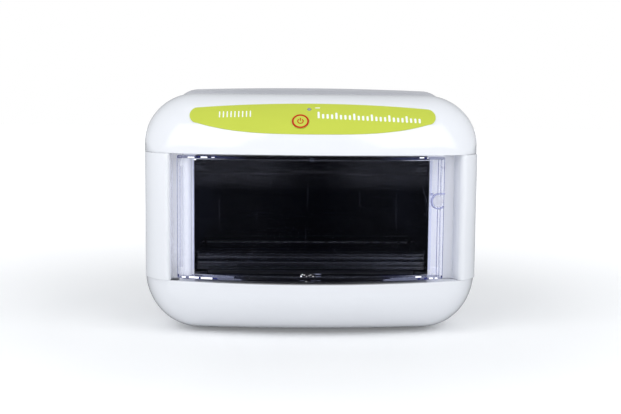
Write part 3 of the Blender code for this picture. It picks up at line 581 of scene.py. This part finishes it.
def build_label():
    bm = bmesh.new()
    ends = [LABEL_HALF - (LABEL_HALF - LABEL_MID) * (1 - math.sin(math.pi / 2 * i / 10)) for i in range(11)]
    ends[-1] -= 0.02
    xs = sorted({-e for e in ends} | {-LABEL_MID + 2 * LABEL_MID * i / 110 for i in range(111)} | set(ends))
    sheet_on_top(bm, [(x, *label_limits(x)) for x in xs], 18, -0.35, 0.75)
    label = finish_piece("label_panel", bm, LIME, "cabinet", ("control_label",), 50.0)
    place, normal = top_surface(BUTTON_X, BUTTON_Z)
    spot, axis = top_surface(LED_X, LED_Z)
    carve(label, rod_bm(place - normal * 9, normal, BUTTON_R + 0.25, 16, 64),
          rod_bm(spot - axis * 6, axis, LED_R + 0.12, 12, 40))
    # the button's cap is flush lime plastic with a raised red ring and a plain power sign
    rim = BUTTON_RISE
    cap = turned_bm(place, normal, [
        (-6, 0), (-6, BUTTON_R - 0.6), (rim - 0.5, BUTTON_R - 0.05), (rim - 0.18, BUTTON_R - 0.18),
        (rim, BUTTON_R - 0.5), (rim, BUTTON_R * 0.5), (rim + 0.04, 0)], 72)
    finish_piece("button_cap", cap, LIME, "button", ("power_button",))
    ring = turned_ring(place + normal * (rim + 0.03), normal, BUTTON_R - 0.95, 0.85, 0.25)
    finish_piece("button_ring", ring, RED, "button", ())
    sign = power_sign(place + normal * (rim + 0.06), normal, 2.9)
    finish_piece("button_sign", sign, RED, "button", ())
    lens = turned_bm(spot, axis, [(-3, 0), (-3, LED_R), (0.9, LED_R), (1.35, LED_R * 0.86),
                                  (1.7, LED_R * 0.55), (1.85, 0)], 40)
    finish_piece("led_lens", lens, LED, "cabinet", ("status_led",))
    build_print()


def level_axes(normal):
    """The way to the right along the surface, and the way up it."""
    side = (Vector((1, 0, 0)) - normal * normal.x).normalized()
    return side, normal.cross(side)


def turned_ring(middle, normal, radius, half_width, height, sides=96, arc=None):
    """Flat raised ring, or the part of one that arc names: start and sweep in degrees."""
    bm = bmesh.new()
    side, other = level_axes(normal)
    start, sweep = (math.radians(a) for a in arc or (0.0, 360.0))
    shape = [(-half_width, -height), (-half_width, height * 0.6), (-half_width * 0.6, height),
             (half_width * 0.6, height), (half_width, height * 0.6), (half_width, -height)]
    rows = []
    for i in range(sides + 1 if arc else sides):
        a = start + sweep * i / sides
        out = side * math.cos(a) + other * math.sin(a)
        rows.append(points(bm, [middle + out * (radius + w) + normal * h for w, h in shape]))
    skin(bm, rows if arc else rows + rows[:1], bool(arc))
    return bm


def power_sign(middle, normal, radius):
    """The usual generic on/off sign: an open ring with an upright bar."""
    bm = turned_ring(middle, normal, radius, 0.5, 0.15, 60, (122, 296))
    side, other = level_axes(normal)
    bar = [middle + side * w + other * far
           for w, far in ((-0.5, 0.4), (0.5, 0.4), (0.5, radius + 1.2), (-0.5, radius + 1.2))]
    skin(bm, [points(bm, [corner + normal * h for corner in bar]) for h in (-0.12, 0.12)])
    return bm


def build_print():
    """Plain printed bars, in place of wording."""
    bm = bmesh.new()

    def dash(x0, x1, z, height):
        steps = 8
        corner = min(height, x1 - x0) * 0.3
        columns = []
        for i in range(steps + 1):
            x = x0 + (x1 - x0) * i / steps
            edge = min(1.0, min(x - x0, x1 - x) / corner)
            rise = height / 2 - corner * (1 - math.sqrt(max(0.0, 1 - (1 - edge) ** 2)))
            columns.append((x, z - rise, z + rise))
        sheet_on_top(bm, columns, 2, 0.70, 0.83)

    for i in range(9):
        x = -100.5 + 4.1 * i
        dash(x, x + 1.3, 238.9 + 0.12 * i, 6.2)
    for i in range(24):
        x = 4.0 + 4.72 * i
        height = 6.6 if i % 4 == 0 else 4.6
        dash(x, x + 2.3, 236.0 - 0.042 * (x - 4.0) + height / 2, height)
    dash(1.6, 7.0, 246.6, 0.8)
    finish_piece("label_print", bm, PRINT, "cabinet", ())


# -------------------------------- door
DOOR_STEPS, STRIP_STEP, STRIP_DEPTH = 110, 4.0, 0.5

# On the door's face: x from, x to, z from, z to, how proud. z counts from the door's foot or its head.
# Painted glints near the ends of the flanges: white strips that give off light.
GLINTS_LOW = (
    (-132.5, -122.0, 0.75, 2.5, 0.20), (-119.6, -107.2, 0.55, 2.35, 0.20), (-140.5, -136.2, 0.9, 2.2, 0.20),
    (111.5, 118.0, 2.9, 4.1, 0.20), (127.0, 131.0, 0.7, 2.0, 0.20), (133.5, 136.5, 0.6, 1.8, 0.20))
GLINTS_HIGH = (
    (-133.5, -126.5, -2.3, -1.1, 0.20), (-119.5, -112.5, -1.9, -0.6, 0.20),
    (-127.0, -124.5, -4.4, -3.5, 0.20), (-108.0, -104.5, -1.5, -0.9, 0.20),
    (113.5, 118.5, -0.7, 0.3, 0.20), (122.0, 123.5, -0.9, -0.1, 0.20))
# Dark-blue marks on the door's edges: the outline by the hinge is the flange's own tinted end; the dashes
# between the painted glints are painted shade, the dark chamber seen through the flanges.
DARK_LOW = (
    (-122.0, -119.6, 0.2, 2.7, 0.25), (-107.2, -101.5, 0.9, 2.1, 0.14), (-145.2, -143.6, 1.5, 4.4, 0.14),
    (-139.5, -120.0, 0.1, 0.75, 0.25), (114.0, 116.6, 0.3, 2.6, 0.25), (119.0, 126.5, 0.2, 1.0, 0.25),
    (121.5, 124.5, 1.0, 2.6, 0.25), (140.2, 142.0, 1.6, 3.6, 0.14))
DARK_HIGH = (
    (-145.0, -139.8, -0.6, 0.0, 0.25), (-145.0, -139.8, -2.6, -2.0, 0.25), (-145.0, -144.3, -2.0, -0.6, 0.25),
    (-140.4, -139.8, -2.0, -0.6, 0.25), (-122.8, -120.8, -1.9, 0.2, 0.25), (-119.5, -113.0, 0.0, 0.6, 0.25),
    (-108.5, -102.5, -0.3, 0.6, 0.25), (118.7, 121.3, -1.6, 0.2, 0.25))
HAZE_LOW = (
    (-143.0, -133.0, 0.6, 2.6, 0.10), (-118.0, -84.0, 2.4, 5.0, 0.06), (-101.5, -76.0, 0.5, 2.0, 0.10),
    (76.0, 113.0, 0.3, 2.2, 0.10), (84.0, 124.0, 2.4, 3.6, 0.06))
HAZE_HIGH = ((-139.5, -134.5, -2.4, -0.8, 0.10),)
# Painted highlight lines along the flanges.
HIGHLIGHT_LOW, HIGHLIGHT_HIGH = ((-126.0, 126.0, 5.0, 5.5, 0.05),), ((-128.0, 128.0, -3.4, -2.5, 0.05),)
FROST_LOW = ((-128.0, 128.0, 11.0, 129.0, 0.03),)
MARKS_HIGH = (
    (-3.7, -0.3, -3.8, -3.3, 0.08), (-3.7, -0.3, -1.3, -0.8, 0.08), (-3.7, -3.2, -3.3, -1.3, 0.08),
    (-0.8, -0.3, -3.3, -1.3, 0.08))
MARKS_LOW = (
    (-1.4, 1.8, 1.6, 2.0, 0.1), (-1.4, 1.8, 0.2, 0.6, 0.1), (-1.4, -1.0, 0.6, 1.6, 0.1),
    (1.4, 1.8, 0.6, 1.6, 0.1))
# The moulding gate at the foot's middle is the door's own; its bright specks, in the glowing glint material,
# are painted glints.
GATE_LOW = (
    (-13.0, -11.8, 5.8, 6.9, 0.05), (-11.7, -10.4, 8.0, 8.6, 0.05), (-9.4, -8.6, 7.4, 8.0, 0.05),
    (-6.7, -6.3, 5.6, 6.3, 0.05), (-4.2, -3.7, 6.6, 7.3, 0.05), (-2.6, -1.8, 7.7, 8.2, 0.05),
    (-0.2, 0.9, 6.1, 6.5, 0.05), (-7.4, -6.8, 0.4, 1.2, 0.2))
GATE_HAZE_LOW = (
    (2.0, 8.4, 8.0, 9.2, 0.05), (3.0, 8.6, 5.8, 6.4, 0.05), (-13.4, -9.6, 1.4, 2.0, 0.2),
    (4.4, 8.2, 1.4, 2.0, 0.2))
# x, z, length, lean in degrees, bend
SCRATCHES = (
    (-99, 86, 19, 60, 8), (-81, 88, 22, 66, 6), (-66, 90, 17, 62, -5), (-6.5, 156, 30, 88, 1.5),
    (-99, 133, 38, 92, -2), (-60, 135, 22, 85, 2), (89, 140, 44, 91, -2), (49, 152, 18, 88, 1),
    (119, 150, 44, 100, 7), (121, 148, 34, 104, 6), (123, 131, 12, 128, 2), (61, 177, 32, 46, -4),
    (-46, 170, 20, 95, 3), (-112, 175, 16, 50, 5), (-5, 84, 12, 75, 3), (-8, 112, 24, 91, 1),
    (28, 92, 20, 140, 2))
SCRATCH_STEPS, SCRATCH_OUT, SCRATCH_IN = 14, -0.02, 0.03


def door_y(x, inset=0.0):
    return front_y(x) + DOOR_INSET + inset


def door_plan_bm(inset, z0, z1, back_y=DOOR_CHORD_Y):
    left, right = DOOR_LEFT + inset, DOOR_RIGHT - inset
    xs = [left + (right - left) * i / DOOR_STEPS for i in range(DOOR_STEPS + 1)]
    path = [(x, door_y(x, inset)) for x in xs] + [(right, back_y), (left, back_y)]
    bm = bmesh.new()
    low, high = (points(bm, [(x, y, z) for x, y in path]) for z in (z0, z1))
    bm.faces.new(low)
    bm.faces.new(high)
    skin(bm, [low, high], False)
    return bm


def on_door(obj, *nodes):
    settle(obj, "door", nodes)


def build_door():
    low, high = DOOR_BOTTOM + FLANGE + 0.05, DOOR_TOP - FLANGE - 0.05
    door = finish_piece("door_clear", door_plan_bm(0.0, low, high), CLEAR_DOOR)
    carve(door, door_plan_bm(DOOR_SKIN, low - 5, high + 5, -60.0))
    door.data.materials.append(SIDE_EDGE)
    for face in door.data.polygons:
        if abs(face.normal.x) > 0.9:
            face.material_index = 1
    on_door(door, "door_panel")
    # the flanges' near-black middle is painted shade
    for name, z0, z1 in (("bottom", DOOR_BOTTOM, DOOR_BOTTOM + FLANGE), ("top", DOOR_TOP - FLANGE, DOOR_TOP)):
        on_door(seal(finish_piece(f"door_flange_{name}", door_plan_bm(0.0, z0, z1), FLANGE_BLUE), 0.5))
    # the barrel glows: painted light
    half, tall = BARREL_HALF, high - low
    bm = turned_bm((HINGE_X + half + 1.6, HINGE_Y + 0.9, low), (0, 0, 1), [
        (0, 0), (0, half - 0.4), (0.5, half), (tall - 0.5, half), (tall, half - 0.4), (tall, 0)], 48)
    on_door(finish_piece("hinge_barrel", bm, BARREL))
    bm = bmesh.new()
    for x, width, depth in ((DOOR_LEFT + 0.3, 0.4, 1.4), (134.9, 0.7, 2.0), (137.7, 0.4, 1.0),
                            (DOOR_RIGHT - 0.6, 0.7, 2.5)):
        y = door_y(x) + 0.25
        box_bm((x - width / 2, y, low), (x + width / 2, y + depth, high), bm)
    on_door(finish_piece("door_ribs", bm, RIB_BLUE))
    foot, head = DOOR_BOTTOM, DOOR_TOP
    build_strips("door_painted_glints", GLINT, (foot, GLINTS_LOW), (head, GLINTS_HIGH))
    build_strips("door_dark_edges_and_shade", NAVY, (foot, DARK_LOW), (head, DARK_HIGH))
    build_strips("door_haze", HAZE, (foot, HAZE_LOW), (head, HAZE_HIGH))
    build_strips("door_painted_highlight_lines", LINE, (foot, HIGHLIGHT_LOW), (head, HIGHLIGHT_HIGH))
    build_strips("door_frost", FROST, (foot, FROST_LOW))
    build_strips("door_marks", HAZE, (head, MARKS_HIGH), (foot, MARKS_LOW))
    build_strips("door_gate_marks_and_glints", GLINT, (foot, GATE_LOW))
    build_strips("door_gate_haze", HAZE, (foot, GATE_HAZE_LOW))
    build_scratches()
    build_pull()


def build_strips(name, mat, *groups):
    """Closed strips that follow the door's curved face."""
    bm = bmesh.new()
    for base, table in groups:
        for x0, x1, z0, z1, proud in table:
            count = max(1, int((x1 - x0) / STRIP_STEP))
            section = ((-proud, z0), (STRIP_DEPTH, z0), (STRIP_DEPTH, z1), (-proud, z1))
            rows = []
            for x in (x0 + (x1 - x0) * i / count for i in range(count + 1)):
                rows.append(points(bm, [(x, door_y(x) + y, base + z) for y, z in section]))
            skin(bm, rows)
    on_door(finish_piece(name, bm, mat))


def build_scratches():
    rng = random.Random(7)
    bm = bmesh.new()
    for x, z, length, lean, bend in SCRATCHES:
        thick = rng.uniform(0.10, 0.17)
        a = math.radians(lean)
        rows = []
        for i in range(SCRATCH_STEPS + 1):
            t = i / SCRATCH_STEPS - 0.5
            side = bend * (t * t - 0.25)
            px = x + math.cos(a) * length * t - math.sin(a) * side
            pz = z + math.sin(a) * length * t + math.cos(a) * side
            half = thick * math.sqrt(max(0.02, 1 - 4 * t * t))
            row = []
            for way, y in ((-half, SCRATCH_OUT), (half, SCRATCH_OUT),
                           (half, SCRATCH_IN), (-half, SCRATCH_IN)):
                across = px - math.sin(a) * way
                row.append((across, door_y(across) + y, pz + math.cos(a) * way))
            rows.append(points(bm, row))
        skin(bm, rows)
    on_door(finish_piece("door_scratches", bm, SCRATCH))


def build_pull():
    """Finger pull: a ring wall with its right side open to the door's edge, round a shallow dish."""
    slope = 2 * SAGITTA * PULL_X / SAGITTA_HALF ** 2
    normal = Vector((slope, -1.0, 0.0)).normalized()
    along = Vector((-normal.y, normal.x, 0.0))
    seat = Vector((PULL_X, door_y(PULL_X), PULL_Z)) + normal * 0.15

    def at(u, v, h):
        return seat + along * u + Vector((0, 0, v)) + normal * h

    section = [(-1.5, 0.0), (-1.5, 2.1), (-1.1, 2.6), (-0.6, 2.85), (0.0, 2.6), (0.1, 2.1), (0.1, 0.0)]
    route = [(u, PULL_R, 0.0, 1.0) for u in (7.0, 4.0, 0.0)]
    for i in range(1, 33):
        a = math.radians(90 + 180 * i / 32)
        route.append((PULL_R * math.cos(a), PULL_R * math.sin(a), math.cos(a), math.sin(a)))
    route += [(3.5, -PULL_R + 0.5, 0.1, -1.0), (6.0, -PULL_R + 2.0, 0.5, -0.85)]
    bm = bmesh.new()
    skin(bm, [points(bm, [at(u + nu * w, v + nv * w, h) for w, h in section]) for u, v, nu, nv in route])
    left, right, low, high = -PULL_R - 0.6, -PULL_R + 2.2, PULL_R - 2.4, PULL_R + 0.4
    box = ((left, low), (right, low), (right, high), (left, high))
    skin(bm, [points(bm, [at(u, v, h) for u, v in box]) for h in (0.0, 1.6)])
    on_door(finish_piece("pull_wall", bm, PULL_EDGE, angle=60.0), "door_pull")
    dish = turned_bm(seat, normal, [(0, 0), (0, PULL_R - 2.4), (0.5, PULL_R - 2.5), (0.35, PULL_R - 3.2),
                                    (0.25, 0)], 64)
    on_door(finish_piece("pull_dish", dish, DISH))


# -------------------------------- recess frame
def build_hinge_gap_shades():
    """Black sheets on the lips where the hinge pins enter them: painted shade, standing in for the dark gaps
    there.
    """
    for name, z0, z1 in (("low", LIP_BOTTOM - 0.4, LIP_BOTTOM + 0.25),
                         ("top", LIP_TOP - 0.25, LIP_TOP + 0.4)):
        bm = box_bm((HINGE_X - 12.5, HINGE_Y - 4.5, z0), (HINGE_X - 3.2, HINGE_Y + 6.0, z1))
        finish_piece(f"hinge_gap_shade_{name}", bm, BLACK, "cabinet", ())


def build_frame():
    bm = box_bm((-OPEN_LEFT - 1.0, FRAME_FRONT_Y, LIP_BOTTOM + 0.3),
                (OPEN_RIGHT - 4.0, FRAME_BACK_Y, LIP_TOP - 0.3))
    plate = finish_piece("recess_frame", bm, FRAME_WHITE)
    window = outline(WINDOW_HALF, WINDOW_BOTTOM, WINDOW_TOP, 2.0, 4.0, 4, 8)
    cut = bmesh.new()
    skin(cut, [points(cut, [(x, y, z) for x, z, _up in window]) for y in (-95.0, -65.0)])
    carve(plate, cut, box_bm((131.9, FRAME_FRONT_Y - 1, 65.0), (138.6, FRAME_FRONT_Y + 2.2, 73.1)),
          rod_bm((140.9, -84, 183.0), (0, 1, 0), 1.6, 10, 24))
    settle(seal(plate, 0.6), "cabinet", ("inner_front_frame",))


# -------------------------------- rear housing
def housing_bm(inset, front, back, lip):
    rows = []

    def ring(shrink, y):
        base = outline(HOUSING_HALF - shrink, BOTTOM_Z + shrink, HOUSING_TOP - shrink,
                       HOUSING_R_BOTTOM - shrink, HOUSING_R_TOP - shrink, 40, 20)
        rise = HOUSING_TOP - CROWN_START
        rows.append([(x, y, z - CROWN * (x / HOUSING_HALF) ** 2 * max(0.0, (z - CROWN_START) / rise))
                     for x, z, _up in base])

    for k in range(7 if lip else 1):
        a = math.pi / 2 * k / 6
        ring(inset + lip * (1 - math.sin(a)), front + lip * (1 - math.cos(a)))
    span = HOUSING_ROUND - inset
    for k in range(15):
        a = math.pi / 2 * k / 14
        ring(inset + span * (1 - math.cos(a)), back - span * (1 - math.sin(a)))
    bm = bmesh.new()
    skin(bm, [points(bm, map(Vector, row)) for row in rows])
    return bm


def build_housing():
    front, back, wall = HOUSING_FRONT_Y, HOUSING_BACK_Y, HOUSING_WALL
    shell = finish_piece("housing_shell", housing_bm(0.0, front, back, 3.5), GREY)
    carve(shell, housing_bm(wall, front + wall, back - wall, 0.0),
          box_bm((-155, -20, 61.5), (155, 20, 196.5)), box_bm((-60, -20, 212), (60, 20, 244)),
          box_bm((-120, 100, 95), (120, 140, 215)))
    settle(shell, "cabinet", ("rear_housing",))


# -------------------------------- fasteners, feet
def pan_head(name, seat, replaced):
    """Pan-head screw with a cross recess, facing back."""
    axis = Vector((0, 1, 0))
    shank, head, rise = SCREW_SHANK, SCREW_HEAD_R, SCREW_RISE
    profile = [(-8, 0), (-8, shank * 0.8), (-7, shank), (0, shank), (0, head), (rise * 0.45, head),
               (rise * 0.8, head * 0.86), (rise, head * 0.55), (rise, 0)]
    screw = finish_piece(name, turned_bm(seat, axis, profile, 40), STEEL_BRIGHT)
    side = axis.orthogonal().normalized()
    other = axis.cross(side)
    slots = []
    for long_way, thin_way in ((side, other), (other, side)):
        turn = Matrix((long_way, thin_way, axis)).transposed().to_4x4()
        turn.translation = (Vector(seat) + axis * rise) * MM
        size = Matrix.Diagonal((head * 1.05 * MM, head * 0.22 * MM, rise * 1.1 * MM, 1.0))
        slots.append(bmesh.new())
        bmesh.ops.create_cube(slots[-1], size=1.0, matrix=turn @ size)
    carve(screw, *slots)
    settle(screw, "cabinet", (replaced,))


def build_fasteners():
    for i, (x, z) in enumerate(((-124, 91), (124, 91), (-124, 219), (124, 219))):
        pan_head(f"panel_screw_{i + 1}", (x, HOUSING_BACK_Y + 0.1, z), f"back_screw_{i + 1}")
    foot = [(0.0, 0), (0.0, 7.7), (0.25, 8.15), (2.2, 8.85), (2.7, 8.8), (2.7, 0)]
    bore = [(0, 0), (0, 4.2), (2.6, 4.2), (2.6, 1.9), (6, 1.9), (6, 0)]
    for name, x, y in (("front_left", -112, -28), ("front_right", 112, -28), ("back_left", -112, 95),
                       ("back_right", 112, 95)):
        piece = finish_piece(f"rubber_foot_{name}", turned_bm((x, y, 0.0), (0, 0, 1), foot, 64), RUBBER)
        carve(piece, turned_bm((x, y, -1), (0, 0, 1), bore, 48))
        settle(piece, "cabinet", (f"foot_{name}",))


# -------------------------------- tray and lamp
def build_tray():
    """Pressed pan with fine level beads round its wall, a rolled rim and a short skirt between the rails."""
    half, front, back, corner, steps = TRAY_HALF, TRAY_FRONT_Y, TRAY_BACK_Y, TRAY_CORNER, 10
    centres = ((half - corner, back - corner, 0), (-half + corner, back - corner, 90),
               (-half + corner, front + corner, 180), (half - corner, front + corner, 270))
    count = TRAY_BEADS * 6
    section = [(2.6, 0.0), (1.5, 0.02), (1.1, 0.06)]
    section += [(0.75 - BEAD_DEPTH * math.cos(2 * math.pi * TRAY_BEADS * i / count), 0.08 + 0.80 * i / count)
                for i in range(count + 1)]
    inside = len(section) + 5
    rim_highlight_row = inside + 2
    section += [(0.15, 0.91), (0.0, 0.95), (0.15, 0.99), (0.8, 1.0), (1.8, 0.99), (2.2, 0.94), (1.9, 0.88),
                (1.83, 0.64), (1.81, 0.56), (1.7, 0.13), (2.4, 0.07), (3.6, 0.06)]
    bm = bmesh.new()
    rows = []
    for shrink, share in section:
        r = max(0.5, corner - shrink)
        row = []
        for cx, cy, start in centres:
            for a in (math.radians(start + 90 * i / steps) for i in range(steps + 1)):
                row.append(Vector((cx + r * math.cos(a), cy + r * math.sin(a), TRAY_LOW + TRAY_RISE * share)))
        rows.append(points(bm, row))
    for n, face in enumerate(skin(bm, rows, False)):
        k, i = divmod(n, len(rows[0]))
        # one band on the rim's back stretch is in the bright fastener steel: a painted highlight line
        face.material_index = 2 if (k, i) == (rim_highlight_row, steps) else int(k >= inside)
    bm.faces.new(rows[0][::-1])
    bm.faces.new(rows[-1]).material_index = 1
    finish_piece("tray_pan", bm, (STEEL_TRAY, STEEL_WALL, STEEL_BRIGHT), "tray", ("instrument_tray",))
    skirt = box_bm((-113.5, front + 0.9, 63.7), (113.5, front + 1.9, TRAY_LOW + 0.3))
    finish_piece("tray_skirt", skirt, STEEL_SKIRT, "tray", ())


def build_lamp():
    y, z = LAMP_Y, LAMP_Z
    tube = turned_bm((-133.7, y, z), (1, 0, 0), [(0, 0), (0, 6.0), (1.5, 7.4), (4, 7.75), (263.4, 7.75),
                                                 (265.9, 7.4), (267.4, 6.0), (267.4, 0)], 48)
    finish_piece("lamp_glass", tube, QUARTZ, "lamp", ("uv_lamp_tube",))
    bm = bmesh.new()
    for side in (-1, 1):
        for k in (-1.6, 1.6):
            rod_bm((side * CATHODE_X, y, z + k), (side, 0, 0), 0.45, 15, 10, bm)
        rod_bm((side * (CATHODE_X - 0.5), y, z - 2.2), (0, 0, 1), 0.9, 4.4, 14, bm)
    finish_piece("lamp_cathodes", bm, STEEL_WALL, "lamp", ())
    # thin brownish streaks round the tube: painted reflections on the quartz
    rng = random.Random(3)
    bm = bmesh.new()
    for i in range(7):
        turn = math.radians(118 + 18 * i)
        reach = rng.uniform(60, 120)
        middle = rng.uniform(-118 + reach / 2, 118 - reach / 2)
        place = (middle - reach / 2, y - 7.9 * math.sin(turn), z + 7.9 * math.cos(turn))
        turned_bm(place, (1, 0, 0), [(0, 0), (reach * 0.2, 0.22), (reach * 0.8, 0.22), (reach, 0)], 6, bm)
    finish_piece("lamp_painted_reflections", bm, LAMP_STREAK, "lamp", ())


# -------------------------------- CAD nodes that stay
def dress_nodes():
    for names, mat in (
            # the chamber steel is painted dark: painted shade
            ("chamber_floor chamber_ceiling chamber_left_wall chamber_right_wall chamber_back_wall "
             "lamp_reflector", STEEL_WALL),
            ("tray_rail_left tray_rail_right", STEEL_SKIRT),
            # these inner white parts glow: painted light
            ("bezel_backplate door_strike_plate door_magnet door_switch_plunger", WHITE_INNER),
            ("rear_vent_panel", GREY),
            # the hinge pins glow: painted light
            ("hinge_pin_top hinge_pin_bottom", PIN_SATIN),
            ("inlet_blade_1 inlet_blade_2 inlet_blade_3 base_plate foot_screw_front_left "
             "foot_screw_front_right foot_screw_back_left foot_screw_back_right", STEEL_BRIGHT),
            ("lamp_cap_left lamp_cap_right ballast_case", ALUMINIUM),
            ("door_switch_body button_switch_stem button_switch_body mains_inlet", BLACK),
            ("lamp_socket_left lamp_socket_right terminal_block", IVORY),
            ("control_board", BOARD)):
        for name in names.split():
            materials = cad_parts[name].data.materials
            materials.clear()
            materials.append(mat)


# -------------------------------- stage, light and camera
FLOOR_GLOW, FLOOR_IN_GLOSS, FLOOR_HALF, FLOOR_DROP = 0.60, 0.02, 8.0, 0.0002
WORLD_LOW, WORLD_TOP = 0.755, 0.585
GLOSS_FRONT, GLOSS_BACK, GLOSS_TOP = 0.012, 0.4, 0.2
SOFTBOX, SOFTBOX_SHARE, OVERHEAD = 8.0, 0.92, 1.5
SOFTBOX_TURN, SOFTBOX_RISE, SOFTBOX_AWAY, SOFTBOX_AIM = 42.0, 33.0, 1.6, (0, -0.08, 0.15)
CAMERA_AWAY, CAMERA_TURN, CAMERA_RISE, CAMERA_ROLL = 1.2, -2.02, 6.0, 0.53
CAMERA_TARGET = (0.0012, 0.0, 0.1307)
SENSOR_WIDTH, FOCAL_SHARE = 36.0, 1023.0 / 621


def straight_view(n):
    """1 for a ray from the camera that has only passed through clear plastic."""
    path = n.node("LightPath")
    value = path.outputs["Is Transmission Ray"]
    for depth in ("Glossy Depth", "Diffuse Depth"):
        value = n.math("MULTIPLY", value, n.math("LESS_THAN", path.outputs[depth], 0.5))
    return value


def build_floor():
    """White floor that stays white into the distance, and is dark to the glossy faces."""
    m = Material("floor_white")
    away = m.node("VectorMath", m.coord, operation="LENGTH").outputs["Value"]
    m.set(Base_Color=m.ramp(m.noise(9.0, 4.0), [(0.3, (0.93, 0.935, 0.94)), (0.7, (0.95, 0.953, 0.957))]),
          Roughness=0.75, Specular_IOR_Level=0.2, Emission_Color=(1.0, 1.0, 1.0, 1.0),
          Emission_Strength=m.span(away, 0.08, FLOOR_GLOW, 0.30, 1.2))
    plain = m.shader.outputs[0]
    dim = m.node("Emission", Color=(0.7, 0.8, 1.0, 1.0), Strength=FLOOR_IN_GLOSS).outputs[0]
    glossy = m.node("LightPath").outputs["Is Glossy Ray"]
    m.surface(m.mix(glossy, plain, m.mix(straight_view(m), dim, plain)))
    bm = bmesh.new()
    bmesh.ops.create_grid(bm, x_segments=2, y_segments=2, size=FLOOR_HALF)
    bmesh.ops.translate(bm, vec=(0.0, 0.0, -FLOOR_DROP), verts=bm.verts)
    finish_piece("floor", bm, m.mat)


def build_world():
    """Bright room above and behind, dark in front to the glossy faces, and plain white to the eye."""
    world = bpy.data.worlds.new("studio")
    bpy.context.scene.world = world
    world.use_nodes = True
    n = Nodes(world.node_tree)
    parts = n.node("SeparateXYZ", n.node("TexCoord").outputs["Generated"])

    def along(axis, low, high, start, end):
        return n.span(parts.outputs[axis], low, high, start, end, interpolation_type="SMOOTHSTEP")

    def background(strength, colour=(0.95, 0.97, 1.0, 1.0)):
        return n.node("Background", Color=colour, Strength=strength).outputs[0]

    path = n.node("LightPath")
    gloss = n.math("ADD", along("Y", GLOSS_FRONT, GLOSS_BACK, -0.5, 0.5),
                   along("Z", 0.0, GLOSS_TOP, 0.25, 0.95))
    room = n.mix(path.outputs["Is Glossy Ray"], background(along("Z", WORLD_LOW, WORLD_TOP, -0.2, 1.0)),
                 background(gloss))
    seen = n.math("MAXIMUM", path.outputs["Is Camera Ray"], straight_view(n))
    white = background(1.0, (1.0, 1.0, 1.0, 1.0))
    n.feed(n.tree.nodes["World Output"].inputs["Surface"], n.mix(seen, room, white))


def area_light(name, place, aim, size_x, size_y, power, colour=(1.0, 1.0, 1.0)):
    data = bpy.data.lights.new(name, "AREA")
    data.shape = "RECTANGLE"
    data.size = size_x
    data.size_y = size_y
    data.energy = power
    data.color = colour
    obj = bpy.data.objects.new(name, data)
    bpy.context.scene.collection.objects.link(obj)
    obj.location = place
    obj.rotation_euler = (Vector(aim) - Vector(place)).to_track_quat("-Z", "Y").to_euler()


def build_lights():
    turn, rise = math.radians(SOFTBOX_TURN), math.radians(SOFTBOX_RISE)
    level = SOFTBOX_AWAY * math.cos(rise)
    for name, side, power in (("softbox_left", -1, SOFTBOX), ("softbox_right", 1, SOFTBOX * SOFTBOX_SHARE)):
        place = (side * level * math.sin(turn), -level * math.cos(turn),
                 SOFTBOX_AIM[2] + SOFTBOX_AWAY * math.sin(rise))
        area_light(name, place, SOFTBOX_AIM, 1.1, 1.25, power, (0.98, 0.99, 1.0))
    area_light("overhead", (0.0, 0.1, 1.6), (0, 0, 0.1), 1.4, 1.0, OVERHEAD)


def make_camera():
    azimuth, elevation, roll = (math.radians(a) for a in (CAMERA_TURN, CAMERA_RISE, CAMERA_ROLL))
    back = Vector((math.sin(azimuth) * math.cos(elevation), -math.cos(azimuth) * math.cos(elevation),
                   math.sin(elevation)))
    right = (-back).cross(Vector((0, 0, 1))).normalized()
    up = right.cross(-back)
    r = right * math.cos(roll) + up * math.sin(roll)
    u = up * math.cos(roll) - right * math.sin(roll)
    data = bpy.data.cameras.new("camera")
    data.sensor_width = SENSOR_WIDTH
    data.lens = FOCAL_SHARE * SENSOR_WIDTH
    data.clip_end = 50
    cam = bpy.data.objects.new("camera", data)
    bpy.context.scene.collection.objects.link(cam)
    place = Matrix((r, u, back)).transposed().to_4x4()
    place.translation = Vector(CAMERA_TARGET) + back * CAMERA_AWAY
    cam.matrix_world = place
    bpy.context.scene.camera = cam


make_camera()
bpy.context.scene.view_settings.view_transform = "Standard"
dress_nodes()
build_shells()
build_label()
build_door()
build_frame()
build_hinge_gap_shades()
build_housing()
build_fasteners()
build_tray()
build_lamp()
build_floor()
build_world()
build_lights()
